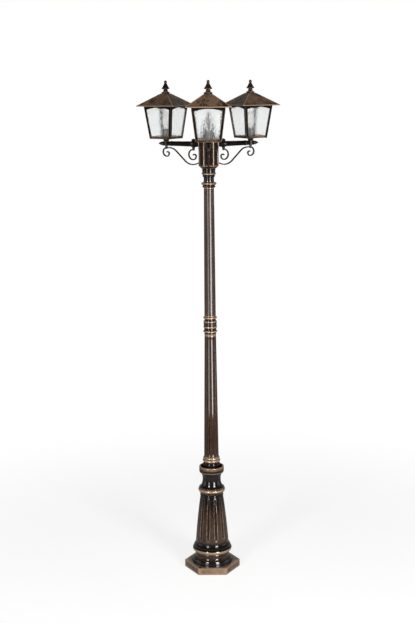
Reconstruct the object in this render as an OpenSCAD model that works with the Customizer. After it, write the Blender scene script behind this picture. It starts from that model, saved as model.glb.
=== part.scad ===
// Three-lantern cast street lamp post, millimetres, +Z up.
// Origin: the post's axis at the ground face of the hexagonal foot. The front arm points along -Y.

/* [Foot and pedestal] */
// Distance from the axis to a corner of the hexagonal foot
foot_r = 138; // [125:1:150]
// Thickness of the hexagonal foot
foot_t = 35; // [28:1:40]
// Radius of the circle the three anchor holes sit on
anchor_r = 120; // [118:0.5:122]
// Diameter of each anchor hole
anchor_d = 12; // [9:0.5:14]
// Radius of the rounded step standing on the foot
ovolo_r = 98; // [94:0.5:102]
// Radius of the gilt torus under the fluted cone
torus_r = 97; // [93:0.5:100]
// Radius of the fluted cone at its foot
cone_foot_r = 81; // [78:0.5:84]
// Radius of the fluted cone at its top
cone_top_r = 56.5; // [54:0.5:60]
// How far the cone's side bulges out of straight
cone_bulge = 2; // [0:0.25:3]
// Height of the top of the fluted cone
cone_top_z = 373; // [368:1:378]
// Radius of the rim of the flared bell above the cone
bell_r = 66.5; // [63:0.5:69]
// Radius of the waist over the bell
waist_r = 45; // [43:0.5:47]
// Outside radius of the open cup
cup_r = 61; // [58:0.5:64]
// Height of the cup's rim
cup_rim_z = 527; // [524:1:530]
// Radius of the flutes in the cone, at their foot
cone_flute_r = 8; // [6:0.25:9]

/* [Shafts] */
// Number of flutes around the cone and the shafts
flutes = 12; // [8:1:16]
// Height of the foot of the lower shaft
lower_z = 574; // [572:1:578]
// Radius of the lower shaft at its foot
lower_r1 = 35.8; // [34:0.25:37]
// Radius of the lower shaft at its top
lower_r2 = 28; // [27:0.25:29]
// Height where the ring group between the shafts begins
mid_z = 1186; // [1170:1:1200]
// Radius of the larger rings of the ring group
mid_ring_r = 34.2; // [32:0.25:36]
// Radius of the barrel of the ring group
mid_barrel_r = 31.4; // [30:0.25:32]
// Radius of the upper shaft at its foot
upper_r1 = 27.6; // [26.5:0.1:28.5]
// Radius of the upper shaft at its top
upper_r2 = 24.2; // [23.5:0.1:25]
// Height of the top of the upper shaft
upper_top_z = 1899; // [1890:1:1902]
// Radius of the flutes in the shafts
shaft_flute_r = 4.4; // [3.5:0.1:5]

/* [Hub] */
// Distance from the axis to a corner of the hub
hub_r = 47; // [45:0.5:50]
// Height of the underside of the hub
hub_z = 1990; // [1988:1:1994]
// Height of the top of the hub
hub_top_z = 2122; // [2120:1:2126]
// Radius of the urn that stands on the hub's lid
lid_urn_r = 27; // [22:0.5:30]
// Height of the lid and its spire above the hub
lid_h = 137; // [128:1:145]
// Height of the arms' centre line
arm_z = 2103; // [2101:0.5:2104]

/* [Arms] */
// Distance from the post's axis to each lantern's axis
lantern_r = 233; // [226:1:240]
// Radius of an arm at the hub
arm_r1 = 13.5; // [12.5:0.1:14]
// Radius of an arm under its lantern
arm_r2 = 10.6; // [10:0.1:11.5]
// Distance from the post's axis to the band on each arm
band_x = 82; // [78:1:90]
// Distance from the post's axis to an arm's pointed end
tip_x = 277; // [275:1:284]
// Width of the scroll bars, across the arm
bar_w = 9; // [7:0.5:11]
// Thickness of the scroll bars
bar_t = 5.6; // [4.8:0.2:6.4]

/* [Lanterns] */
// Height of the underside of a lantern's floor
body_z = 2126; // [2125:0.5:2128]
// Height of the lantern frame
body_h = 153; // [150:1:156]
// Width of the lantern frame at its floor
body_w1 = 115; // [110:1:118]
// Width of the lantern frame under its roof
body_w2 = 153; // [148:1:158]
// Width of a corner bar of the frame
stile_w = 12; // [10:0.5:14]
// Height of the frame's bottom rail
rail_h = 12; // [10:0.5:14]
// Rise of the arch at the top of each window
arch_rise = 10; // [6:0.5:12]
// Thickness of the frame's walls
wall_t = 3.5; // [3:0.1:4]
// Thickness of the glass panes
glass_t = 3; // [2.4:0.1:3.4]
// Width of the roof across its drip edge
roof_w = 207; // [200:1:212]
// Height of the drip edge
drip_h = 5; // [4:0.5:8]
// Width of the round plate on top of the roof
plate_w = 38.6; // [35:0.2:42]
// Radius of the wide rim of the acorn finial
acorn_r = 18.6; // [17:0.2:20]
// Height of the whole lamp post
total_h = 2400; // [2396:1:2410]
// Radius of the lamp holder
holder_r = 13.5; // [12.5:0.1:14.5]
// Largest radius of the lamp's glass
bulb_r = 17; // [15:0.5:17.5]

/* [Hidden] */
$fn = 72;
eps = 0.05;
front_a = -90;
right_a = 30;
left_a = 150;
iron = [0.09, 0.08, 0.075];
bronze = [0.30, 0.21, 0.14];
steel = [0.62, 0.62, 0.60];
clear = [0.88, 0.90, 0.90, 0.35];
milk = [0.95, 0.94, 0.90];
cup_floor_z = cup_rim_z - 28;
web_t = 18;
groove_z = foot_t + 91;
torus_z = foot_t + 67;
tie_r = 6.5;
tie_clear = 0.2;
hub_flat = hub_r * cos(30);
hub_wall = 9;
hub_floor_t = 10;
hub_bevel = 12;
bolt_r = 2.5;
bolt_side = 12;
bolt_drop = 14;
bolt_head_r = 4.2;
bolt_head_t = 2.4;
spigot_l = 40;
lower_bore_r = 21;
upper_bore_r = 17;
mid_top_z = mid_z + 95;
stub_drop = 23.2;
boss_r = 11.5;
boss_top_z = arm_z + 11;
boss_bot_z = arm_z - 17;
roof_z = body_z + body_h;
roof_top_z = total_h - 60;
plate_t = 6;
finial_z = roof_top_z + plate_t;
side_slope = (body_w2 - body_w1) / 2 / body_h;
side_tilt = atan(side_slope);
holder_z = body_z + 4;
holder_h = 44;
cap_r = 6.9;
cap_z = holder_z + 22;
bulb_z = holder_z + holder_h + 1;
bulb_top_z = roof_z - 20;

// Points along an ellipse arc centred at (cx, cz), angles in degrees
function arc_pts(cx, cz, rx, rz, a0, a1, n) =
    [for (i = [0:n]) let (a = a0 + (a1 - a0) * i / n) [cx + rx * cos(a), cz + rz * sin(a)]];

// Points up a side that bulges by b between (r0, z0) and (r1, z1)
function bulge_pts(r0, z0, r1, z1, b, n) =
    [for (i = [0:n]) let (t = i / n) [r0 + (r1 - r0) * t + 4 * b * t * (1 - t), z0 + (z1 - z0) * t]];

// A ring with a rounded edge of height h, standing out to radius r
module bead(r, z, h) {
    rotate_extrude()
        polygon(concat([[0, z - h / 2]],
                       arc_pts(r - h / 2, z, h / 2, h / 2, -90, 90, 8),
                       [[0, z + h / 2]]));
}

// A bore along Z
module bore(r, z0, z1) {
    translate([0, 0, z0])
        cylinder(r = r, h = z1 - z0);
}

// Flute cutters: long round-ended spindles lying along a tapered side
module flute_cutters(r0, z0, r1, z1, w0, w1, sink, count, turn) {
    tilt = atan((r0 - r1) / (z1 - z0));
    length = norm([r0 - r1, z1 - z0]);
    for (i = [0:count - 1])
        rotate(turn + i * 360 / count)
            translate([r0 + w0 * (1 - sink), 0, z0])
                rotate([0, -tilt, 0])
                    spindle(w0, w1, length);
}

// A round-ended spindle from radius w0 to radius w1
module spindle(w0, w1, length) {
    rotate_extrude()
        polygon(concat(arc_pts(0, w0, w0, w0, -90, 0, 5),
                       arc_pts(0, length - w1, w1, w1, 0, 90, 5)));
}

// Place a child drawn along +X on the arm at angle a
module on_arm(a) {
    rotate(a)
        children();
}

// Place a child drawn around the Z axis on the lantern axis of the arm at angle a
module on_lantern(a) {
    rotate(a)
        translate([lantern_r, 0, 0])
            children();
}

// ---- pedestal ----

module base_side() {
    rotate_extrude()
        polygon(concat(
            [[0, foot_t - 2], [ovolo_r, foot_t - 2]],
            arc_pts(ovolo_r - 12, foot_t + 2, 12, 23, 0, 80, 7),
            [[ovolo_r - 12.5, foot_t + 26]],
            [for (p = arc_pts(0, foot_t + 38, 4, 12, -90, 90, 8)) [ovolo_r - 11 - p[0], p[1]]],
            [[torus_r - 11, foot_t + 54]],
            arc_pts(torus_r - 13, torus_z, 13, 13, -75, 75, 12),
            [[torus_r - 6.5, torus_z + 14], [torus_r - 6.5, torus_z + 18],
             [torus_r - 11, torus_z + 19.5], [cone_foot_r + 2, groove_z], [cone_foot_r + 5, groove_z + 2]],
            [for (p = arc_pts(0, 0, 5, 14, -80, 0, 6))
                [cone_foot_r + 5 - p[0], groove_z + 16 + p[1]]],
            bulge_pts(cone_foot_r, groove_z + 17, cone_top_r, cone_top_z, cone_bulge, 8),
            [[cone_top_r + 0.2, cone_top_z + 1]],
            arc_pts(cone_top_r - 3.5, cone_top_z + 7, 5, 5, -80, 80, 8),
            [for (p = arc_pts(0, 0, 8, 12, 0, 80, 5))
                [cone_top_r + 8.5 - p[0], cone_top_z + 14 + p[1]]],
            arc_pts(bell_r - 6, cone_top_z + 34, 6, 7, -80, 80, 8),
            [[bell_r - 4, cone_top_z + 43], [bell_r - 4, cone_top_z + 46]],
            [for (p = arc_pts(0, 0, 21, 40, -80, 0, 10))
                [waist_r + 21 - p[0], cone_top_z + 86 + p[1]]],
            [[waist_r, cone_top_z + 90]],
            [for (p = arc_pts(0, 0, 4, 16, 0, 80, 6))
                [waist_r + 4 - p[0], cone_top_z + 92 + p[1]]],
            [[waist_r + 4, cup_rim_z - 41]],
            arc_pts(cup_r - 10, cup_rim_z - 24, 10, 12, -80, 0, 8),
            arc_pts(cup_r - 4, cup_rim_z - 4, 4, 4, 0, 180, 8),
            [[cup_r - 8, cup_floor_z], [0, cup_floor_z]]));
}

module base_cavity() {
    web_z = cup_floor_z - web_t;
    rotate_extrude()
        polygon([[0, -1], [ovolo_r - 14, -1], [ovolo_r - 20, foot_t + 30], [cone_foot_r - 12, groove_z],
                 [cone_top_r - 14, cone_top_z], [waist_r - 11, cone_top_z + 60],
                 [waist_r - 11, web_z - 12], [waist_r - 20, web_z], [0, web_z]]);
}

module base() {
    color(iron)
        difference() {
            union() {
                cylinder(r = foot_r, h = foot_t, $fn = 6);
                base_side();
            }
            base_cavity();
            bore(tie_r + tie_clear, cup_floor_z - web_t - 1, cup_floor_z + 1);
            for (a = [0, 120, 240])
                rotate(a)
                    translate([anchor_r, 0, -1])
                        cylinder(d = anchor_d, h = foot_t + 2);
            flute_cutters(cone_foot_r + 1, groove_z + 38, cone_top_r + 2, cone_top_z - 14,
                          cone_flute_r, cone_flute_r * 0.72, 0.72, flutes, 15);
        }
}

module shaft_collar() {
    top_z = lower_z;
    color(iron)
        difference() {
            union() {
                bore(42, cup_floor_z, cup_rim_z + 10);
                bead(42.5, cup_rim_z + 10, 12);
                bore(39, cup_rim_z + 10, top_z);
                bead(43.5, cup_rim_z + 29, 13);
                bead(41, top_z - 6, 9);
            }
            bore(30.1, cup_floor_z - 1, top_z + 1);
        }
}

// ---- shafts ----

module lower_shaft() {
    foot_h = 16;
    color(bronze)
        difference() {
            union() {
                bore(30, cup_floor_z, lower_z + 5);
                translate([0, 0, lower_z])
                    cylinder(r1 = lower_r1, r2 = lower_r2, h = mid_z - lower_z);
            }
            bore(lower_bore_r, cup_floor_z - 1, mid_z + 1);
            flute_cutters(lower_r1 - 0.3, lower_z + foot_h, lower_r2 + 0.4, mid_z - foot_h,
                          shaft_flute_r, shaft_flute_r * 0.85, 0.62, flutes, 15);
        }
}

module mid_coupling() {
    color(iron)
        difference() {
            union() {
                bore(lower_bore_r - eps, mid_z - spigot_l, mid_z + 1);
                bore(27.5, mid_z, mid_top_z);
                bead(lower_r2 + 1, mid_z + 5, 9);
                bore(lower_r2 + 0.5, mid_z + 8, mid_z + 16);
                bead(mid_ring_r, mid_z + 20, 9);
                bore(29.5, mid_z + 22, mid_z + 39);
                bead(mid_ring_r - 1, mid_z + 41, 9);
                bore(mid_barrel_r, mid_z + 43, mid_z + 66);
                bead(mid_ring_r - 1.2, mid_z + 68, 7);
                bead(mid_ring_r - 0.8, mid_z + 87, 9);
                bore(upper_bore_r - eps, mid_top_z - 1, mid_top_z + spigot_l);
            }
            bore(14, mid_z - spigot_l - 1, mid_top_z + spigot_l + 1);
        }
}

module upper_shaft() {
    foot_h = 18;
    color(bronze)
        difference() {
            translate([0, 0, mid_top_z])
                cylinder(r1 = upper_r1, r2 = upper_r2, h = upper_top_z - mid_top_z);
            bore(upper_bore_r, mid_top_z - 1, upper_top_z + 1);
            flute_cutters(upper_r1 - 0.2, mid_top_z + foot_h, upper_r2 + 0.1, upper_top_z - foot_h,
                          shaft_flute_r * 0.84, shaft_flute_r * 0.75, 0.62, flutes, 15);
        }
}

module neck_capital() {
    color(iron)
        difference() {
            union() {
                bore(upper_bore_r - eps, upper_top_z - spigot_l, upper_top_z + 1);
                bore(24, upper_top_z, hub_z);
                bead(31.3, upper_top_z + 6, 10);
                bore(28, upper_top_z + 6, upper_top_z + 20);
                bead(36, upper_top_z + 20, 12);
                bead(29.8, upper_top_z + 56, 9);
                rotate_extrude()
                    polygon(concat([[0, upper_top_z + 22], [27, upper_top_z + 24]],
                                   [for (p = arc_pts(0, 0, 7, 22, -60, 60, 10))
                                       [31.5 - p[0], upper_top_z + 40 + p[1]]],
                                   [[27, upper_top_z + 62], [0, upper_top_z + 63]]));
                bead(34.5, upper_top_z + 66, 9);
                bore(31.2, upper_top_z + 66, hub_z);
                bead(32.4, hub_z - 5, 6);
            }
            bore(12, upper_top_z - spigot_l - 1, hub_z + 1);
        }
}

// ---- hub ----

module hub() {
    post_z = hub_z + hub_bevel;
    panel_w = hub_r * 0.66;
    color(iron)
        difference() {
            union() {
                translate([0, 0, post_z])
                    cylinder(r = hub_r, h = hub_top_z - post_z, $fn = 6);
                translate([0, 0, hub_z])
                    linear_extrude(height = hub_bevel, scale = hub_r / 35)
                        circle(r = 35, $fn = 6);
                for (i = [0:5])
                    rotate(i * 60)
                        translate([hub_r - 1.6, 0, post_z])
                            cylinder(r = 2.4, h = hub_top_z - post_z);
            }
            bore(hub_flat - hub_wall, hub_z + hub_floor_t, hub_top_z + 1);
            bore(tie_r + tie_clear, hub_z - 1, hub_z + hub_floor_t + 1);
            for (a = [front_a, right_a, left_a])
                rotate(a) {
                    translate([hub_flat - hub_wall - 4, 0, arm_z])
                        rotate([0, 90, 0])
                            cylinder(r = 6, h = hub_wall + 8);
                    for (s = [-1, 1])
                        translate([0, s * bolt_side, arm_z - bolt_drop])
                            rotate([0, 90, 0]) {
                                bore(bolt_r + 0.1, hub_flat - hub_wall - 4, hub_flat + 4);
                                bore(bolt_head_r + 0.6, hub_flat - hub_wall - 6, hub_flat - hub_wall);
                            }
                }
            for (i = [0:5])
                rotate(30 + i * 60)
                    translate([hub_flat - 1.5, -panel_w / 2, post_z + 6])
                        cube([4, panel_w, arm_z - 34 - post_z]);
        }
}

module hub_lid() {
    dome_r = hub_flat - 1;
    urn_z = hub_top_z + 42;
    spire_z = hub_top_z + 99;
    ball_z = hub_top_z + lid_h - 6;
    color(bronze)
        union() {
            translate([0, 0, hub_top_z])
                cylinder(r = hub_r + 2, h = 4, $fn = 6);
            translate([0, 0, hub_top_z - 3])
                cylinder(r = hub_flat - hub_wall - 0.3, h = 4);
            rotate_extrude()
                polygon(concat(
                    [[0, hub_top_z + 3], [dome_r, hub_top_z + 3], [dome_r, hub_top_z + 12]],
                    arc_pts(dome_r - 18, hub_top_z + 13, 17, 26, 0, 75, 10),
                    [[lid_urn_r - 6, urn_z - 2], [lid_urn_r - 6, urn_z + 1]],
                    arc_pts(lid_urn_r - 4, urn_z + 7, 4, 5, -80, 60, 8),
                    bulge_pts(lid_urn_r - 2, urn_z + 12, lid_urn_r - 6, urn_z + 42, 1.2, 6),
                    [[lid_urn_r - 15, spire_z - 6], [5, spire_z - 1], [4.2, spire_z + 5]],
                    [[3.2, ball_z - 5.2]],
                    arc_pts(0, ball_z, 5, 6, -50, 90, 10)));
        }
}

module tie_tube() {
    tie_z0 = cup_floor_z - web_t - 20;
    tie_z1 = hub_z + hub_floor_t + 20;
    color(steel)
        difference() {
            bore(tie_r, tie_z0, tie_z1);
            bore(tie_r - 1.8, tie_z0 - 1, tie_z1 + 1);
        }
}

module tie_nuts() {
    color(steel)
        for (z = [cup_floor_z - web_t - 10.2, hub_z + hub_floor_t + 2.2])
            translate([0, 0, z])
                difference() {
                    cylinder(r = 11.5, h = 8, $fn = 6);
                    translate([0, 0, -1])
                        cylinder(r = tie_r, h = 10);
                }
}

module tie_washers() {
    color(steel)
        for (z = [cup_floor_z - web_t - 2.2, hub_z + hub_floor_t])
            translate([0, 0, z])
                difference() {
                    cylinder(r = 15, h = 2.2);
                    translate([0, 0, -1])
                        cylinder(r = tie_r + tie_clear, h = 5);
                }
}

module arm_bolts() {
    color(steel)
        for (a = [front_a, right_a, left_a])
            rotate(a)
                for (s = [-1, 1])
                    translate([hub_flat - hub_wall, s * bolt_side, arm_z - bolt_drop])
                        rotate([0, 90, 0]) {
                            cylinder(r = bolt_r, h = hub_wall + 5.4);
                            translate([0, 0, -bolt_head_t])
                                cylinder(r = bolt_head_r, h = bolt_head_t, $fn = 6);
                        }
}

// ---- arms, drawn along +X ----

module arm_shape() {
    flange_t = 6;
    difference() {
        union() {
            translate([hub_flat, 0, arm_z])
                rotate([0, 90, 0])
                    cylinder(r1 = arm_r1, r2 = arm_r2, h = lantern_r - hub_flat);
            translate([hub_flat, -19, arm_z - 21])
                cube([flange_t, 38, 37]);
            translate([hub_flat + flange_t, 0, arm_z])
                rotate([0, 90, 0])
                    cylinder(r1 = arm_r1 + 3.5, r2 = arm_r1 - 0.6, h = 9);
            translate([lantern_r, 0, boss_bot_z])
                cylinder(r = 6.5, h = arm_z - boss_bot_z);
            translate([lantern_r, 0, arm_z - 8])
                cylinder(r = boss_r, h = boss_top_z - arm_z + 8);
            translate([lantern_r, 0, arm_z])
                rotate([0, 90, 0])
                    cylinder(r = arm_r2, h = 14);
        }
        translate([hub_flat - 1, 0, arm_z])
            rotate([0, 90, 0])
                cylinder(r = 5, h = lantern_r - hub_flat + 1);
        translate([lantern_r, 0, arm_z])
            cylinder(r = 5, h = 40);
        for (s = [-1, 1])
            translate([hub_flat - 1, s * bolt_side, arm_z - bolt_drop])
                rotate([0, 90, 0])
                    cylinder(r = bolt_r, h = flange_t + 0.5);
        translate([lantern_r + 2, 0, arm_z])
            rotate([0, 90, 0])
                cylinder(r = 3.05, h = 14);
    }
}

module band_shape() {
    band_w = 14;
    local_r = arm_r1 + (arm_r2 - arm_r1) * (band_x - hub_flat) / (lantern_r - hub_flat);
    slope = (arm_r1 - arm_r2) / (lantern_r - hub_flat);
    difference() {
        union() {
            translate([band_x - band_w / 2, 0, arm_z])
                rotate([0, 90, 0])
                    cylinder(r = local_r + 4, h = band_w);
            translate([band_x - band_w / 2, -7, arm_z + local_r])
                cube([band_w, 14, 6]);
            translate([band_x, 0, arm_z + local_r + 6])
                linear_extrude(height = 7, scale = 0.12)
                    square([band_w + 3, 17], center = true);
            translate([band_x, 0, arm_z - stub_drop])
                cylinder(r = 7, h = stub_drop);
        }
        translate([band_x - 20, 0, arm_z])
            rotate([0, 90, 0])
                cylinder(r1 = local_r + slope * 20 + eps, r2 = local_r - slope * 20 + eps, h = 40);
    }
}

module tip_shape() {
    start_x = lantern_r + 14;
    neck_l = tip_x - start_x - 20;
    translate([0, 0, arm_z])
        rotate([0, 90, 0])
            union() {
                translate([0, 0, start_x - 11])
                    cylinder(r = 3, h = 12);
                rotate_extrude()
                    polygon(concat([[0, start_x]],
                                   arc_pts(arm_r2 - 4, start_x + 4, 4, 4, -90, 90, 6),
                                   [[4, start_x + 9], [4, start_x + neck_l]],
                                   [[8.5, start_x + neck_l + 3], [7.6, start_x + neck_l + 8],
                                    [3.2, tip_x - 4], [0, tip_x]]));
            }
}

// One curved length of scroll bar from the origin along +X, then the rest of the chain.
// Each step is [radius, sweep]: a positive radius bends to the left, a negative one to the right,
// and a zero radius is a straight length.
module bar_chain(steps, i = 0) {
    if (i < len(steps)) {
        r = steps[i][0];
        a = steps[i][1];
        bar_joint();
        if (r == 0) {
            rotate([90, 0, 90])
                linear_extrude(height = a)
                    bar_section();
            translate([a, 0, 0])
                bar_chain(steps, i + 1);
        }
        if (r > 0) {
            translate([0, r, 0])
                rotate(-90)
                    rotate_extrude(angle = a)
                        translate([r, 0])
                            bar_section();
            translate([r * sin(a), r * (1 - cos(a)), 0])
                rotate(a)
                    bar_chain(steps, i + 1);
        }
        if (r < 0) {
            translate([0, r, 0])
                rotate(90 - a)
                    rotate_extrude(angle = a)
                        translate([-r, 0])
                            bar_section();
            translate([-r * sin(a), r * (1 - cos(a)), 0])
                rotate(-a)
                    bar_chain(steps, i + 1);
        }
    }
}

// A thin swelling where two lengths of bar run together
module bar_joint() {
    rotate([90, 0, 90])
        translate([0, 0, -0.5])
            linear_extrude(height = 1)
                bar_section(0.1);
}

// The bar's section: a flat bar with eased edges, grown all round by g
module bar_section(g = 0) {
    c = bar_t * 0.28;
    x = bar_t / 2 + g;
    y = bar_w / 2 + g;
    polygon([[x - c, -y], [x, c - y], [x, y - c], [x - c, y], [c - x, y], [-x, y - c], [-x, c - y], [c - x, -y]]);
}

module scroll_shape() {
    crown_z = boss_bot_z - bar_t / 2;
    difference() {
        union() {
            translate([lantern_r - 8, 0, crown_z])
                rotate([90, 0, 0]) {
                    mirror([1, 0, 0])
                        bar_chain([[0, 8], [-58, 43], [0, 66], [62, 63], [0, 34]]);
                    bar_chain([[0, 6], [-20.5, 180], [-13, 100], [-7.5, 100]]);
                }
            knob(lantern_r, 5.5, boss_bot_z - 9, boss_bot_z);
            translate([lantern_r - 12, -bar_w / 2 + 0.2, crown_z - bar_t / 2 + 0.2])
                cube([12, bar_w - 0.4, bar_t - 0.4]);
        }
        translate([hub_flat - 60, -20, hub_z - 20])
            cube([60, 40, 120]);
    }
}

module curl_shape() {
    seat_z = arm_z - stub_drop;
    union() {
        translate([band_x, 0, seat_z - bar_t / 2])
            rotate([90, 0, 0])
                bar_chain([[0, 2], [-24, 180], [-16, 90], [-9, 130]]);
        knob(band_x, 5.5, seat_z - 8, seat_z);
    }
}

// A round knob on the arm's plane at distance x from the post's axis
module knob(x, r, z0, z1) {
    translate([x, 0, z0])
        cylinder(r = r, h = z1 - z0);
}

// ---- lantern, drawn around its own axis ----

module cup_shape() {
    difference() {
        rotate_extrude()
            polygon(concat([[0, boss_top_z], [11.5, boss_top_z], [12.2, boss_top_z + 2],
                            [15.5, body_z - 4], [17.5, body_z - 3], [17.5, body_z],
                            [0, body_z]]));
        bore(5, boss_top_z - 1, body_z + 1);
    }
}

// A square frustum that follows the frame's sides, grown outwards by g, between heights h0 and h1
module side_frustum(g, h0, h1) {
    w0 = body_w1 + 2 * (g + side_slope * h0);
    w1 = body_w1 + 2 * (g + side_slope * h1);
    translate([0, 0, body_z + h0])
        linear_extrude(height = h1 - h0, scale = w1 / w0)
            square(w0, center = true);
}

// The window's outline on a side, measured up the slope
module window_outline() {
    slant_h = body_h / cos(side_tilt);
    z0 = rail_h;
    z1 = slant_h - 6 - arch_rise;
    w0 = body_w1 / 2 + side_slope * z0 - stile_w;
    w1 = body_w1 / 2 + side_slope * z1 - stile_w;
    big_r = (w1 * w1 + arch_rise * arch_rise) / 2 / arch_rise;
    half_a = asin(w1 / big_r);
    polygon(concat([[-w0, z0], [w0, z0]],
                   arc_pts(0, z1 + arch_rise - big_r, big_r, big_r, 90 - half_a, 90 + half_a, 12)));
}

module on_side(i) {
    rotate(i * 90)
        translate([body_w1 / 2, 0, body_z])
            rotate([0, side_tilt, 0])
                rotate([90, 0, 90])
                    children();
}

module body_shape() {
    floor_t = 4;
    difference() {
        side_frustum(0, 0, body_h);
        side_frustum(-wall_t, floor_t, body_h + 1);
        for (i = [0:3])
            on_side(i)
                translate([0, 0, -12])
                    linear_extrude(height = 24)
                        window_outline();
        bore(5, body_z - 1, body_z + floor_t + 1);
    }
}

module glass_shape() {
    slant_h = (body_h - 12) / cos(side_tilt);
    base_h = 3.7;
    gap = 0.1;
    w0 = body_w1 / 2 + side_slope * base_h - wall_t - glass_t - 1.2;
    w1 = body_w1 / 2 + side_slope * slant_h - wall_t - glass_t - 1.2;
    for (i = [0:3])
        on_side(i)
            translate([0, 0, -wall_t - gap - glass_t])
                linear_extrude(height = glass_t)
                    polygon([[-w0, base_h], [w0, base_h], [w1, slant_h], [-w1, slant_h]]);
}

module holder_shape() {
    difference() {
        union() {
            bore(holder_r + 4, holder_z, holder_z + 4);
            bore(holder_r, holder_z, holder_z + holder_h);
            bead(holder_r + 1, holder_z + 7, 4);
        }
        bore(cap_r + eps, cap_z - 1, holder_z + holder_h + 1);
        bore(3, holder_z - 1, cap_z);
    }
}

module cap_shape() {
    rotate_extrude()
        polygon([[0, cap_z + 1], [3, cap_z + 1], [cap_r, cap_z + 4], [cap_r, bulb_z], [0, bulb_z]]);
}

module bulb_shape() {
    neck_r = 8;
    belly_z = bulb_z + 34;
    rotate_extrude()
        polygon(concat([[0, bulb_z], [neck_r, bulb_z]],
                       [for (i = [1:8]) let (t = i / 8)
                           [neck_r + (bulb_r - neck_r) * sin(90 * t), bulb_z + 34 * t]],
                       [for (i = [1:11]) let (t = i / 11)
                           [bulb_r * cos(90 * t), belly_z + (bulb_top_z - belly_z) * (1 - pow(1 - t, 1.35))]]));
}

module roof_shape() {
    lip_w = body_w2 - 2 * wall_t - 2.5;
    open_w = lip_w - 12;
    soffit_t = 3.5;
    skin = 7.5;
    eave_z = roof_z + drip_h;
    top_w = plate_w - 8;
    fall = (roof_w - top_w) / (roof_top_z - eave_z);
    cap_t = 5;
    low_w = roof_w - 2 * skin;
    high_w = top_w - 2 * skin + fall * cap_t;
    difference() {
        union() {
            translate([-roof_w / 2, -roof_w / 2, roof_z])
                cube([roof_w, roof_w, drip_h]);
            translate([0, 0, eave_z])
                linear_extrude(height = roof_top_z - eave_z, scale = top_w / roof_w)
                    square(roof_w, center = true);
            translate([-lip_w / 2, -lip_w / 2, roof_z - 5])
                cube([lip_w, lip_w, 6]);
            bore(plate_w / 2, roof_top_z - 1, finial_z);
        }
        translate([-open_w / 2, -open_w / 2, roof_z - 6])
            cube([open_w, open_w, 10.01]);
        translate([0, 0, roof_z + soffit_t])
            linear_extrude(height = roof_top_z - cap_t - roof_z - soffit_t, scale = high_w / low_w)
                square(low_w, center = true);
        bore(4.05, roof_top_z - 8, finial_z + 1);
    }
}

module finial_shape() {
    neck_r = 9;
    rim_z = finial_z + 17;
    ball_z = total_h - 8.5;
    union() {
        bore(4, finial_z - 12, finial_z + 4);
        rotate_extrude()
            polygon(concat(
                [[0, finial_z], [13, finial_z], [13, finial_z + 2.5], [neck_r, finial_z + 3.5]],
                arc_pts(neck_r + 0.5, finial_z + 6.5, 2.4, 2.4, -70, 70, 6),
                [[neck_r - 0.5, finial_z + 9.5], [neck_r, finial_z + 12]],
                arc_pts(acorn_r - 3, rim_z, 3, 3.4, -80, 60, 8),
                [for (i = [1:7]) let (t = i / 8)
                    [acorn_r - 2 - (acorn_r - 9) * pow(t, 0.8), rim_z + 3 + (ball_z - rim_z - 10) * t]],
                [[6, ball_z - 6.8]],
                arc_pts(0, ball_z, 7.2, 8.5, -50, 90, 12)));
    }
}

// ---- the three arms and their lanterns ----

module arm_front() { color(iron) on_arm(front_a) arm_shape(); }
module arm_right() { color(iron) on_arm(right_a) arm_shape(); }
module arm_left() { color(iron) on_arm(left_a) arm_shape(); }

module band_front() { color(iron) on_arm(front_a) band_shape(); }
module band_right() { color(iron) on_arm(right_a) band_shape(); }
module band_left() { color(iron) on_arm(left_a) band_shape(); }

module tip_front() { color(iron) on_arm(front_a) tip_shape(); }
module tip_right() { color(iron) on_arm(right_a) tip_shape(); }
module tip_left() { color(iron) on_arm(left_a) tip_shape(); }

module scroll_front() { color(iron) on_arm(front_a) scroll_shape(); }
module scroll_right() { color(iron) on_arm(right_a) scroll_shape(); }
module scroll_left() { color(iron) on_arm(left_a) scroll_shape(); }

module curl_front() { color(iron) on_arm(front_a) curl_shape(); }
module curl_right() { color(iron) on_arm(right_a) curl_shape(); }
module curl_left() { color(iron) on_arm(left_a) curl_shape(); }

module cup_front() { color(iron) on_lantern(front_a) cup_shape(); }
module cup_right() { color(iron) on_lantern(right_a) cup_shape(); }
module cup_left() { color(iron) on_lantern(left_a) cup_shape(); }

module body_front() { color(bronze) on_lantern(front_a) body_shape(); }
module body_right() { color(bronze) on_lantern(right_a) body_shape(); }
module body_left() { color(bronze) on_lantern(left_a) body_shape(); }

module glass_front() { color(clear) on_lantern(front_a) glass_shape(); }
module glass_right() { color(clear) on_lantern(right_a) glass_shape(); }
module glass_left() { color(clear) on_lantern(left_a) glass_shape(); }

module holder_front() { color(iron) on_lantern(front_a) holder_shape(); }
module holder_right() { color(iron) on_lantern(right_a) holder_shape(); }
module holder_left() { color(iron) on_lantern(left_a) holder_shape(); }

module bulb_cap_front() { color(steel) on_lantern(front_a) cap_shape(); }
module bulb_cap_right() { color(steel) on_lantern(right_a) cap_shape(); }
module bulb_cap_left() { color(steel) on_lantern(left_a) cap_shape(); }

module bulb_front() { color(milk) on_lantern(front_a) bulb_shape(); }
module bulb_right() { color(milk) on_lantern(right_a) bulb_shape(); }
module bulb_left() { color(milk) on_lantern(left_a) bulb_shape(); }

module roof_front() { color(bronze) on_lantern(front_a) roof_shape(); }
module roof_right() { color(bronze) on_lantern(right_a) roof_shape(); }
module roof_left() { color(bronze) on_lantern(left_a) roof_shape(); }

module finial_front() { color(iron) on_lantern(front_a) finial_shape(); }
module finial_right() { color(iron) on_lantern(right_a) finial_shape(); }
module finial_left() { color(iron) on_lantern(left_a) finial_shape(); }

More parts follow.
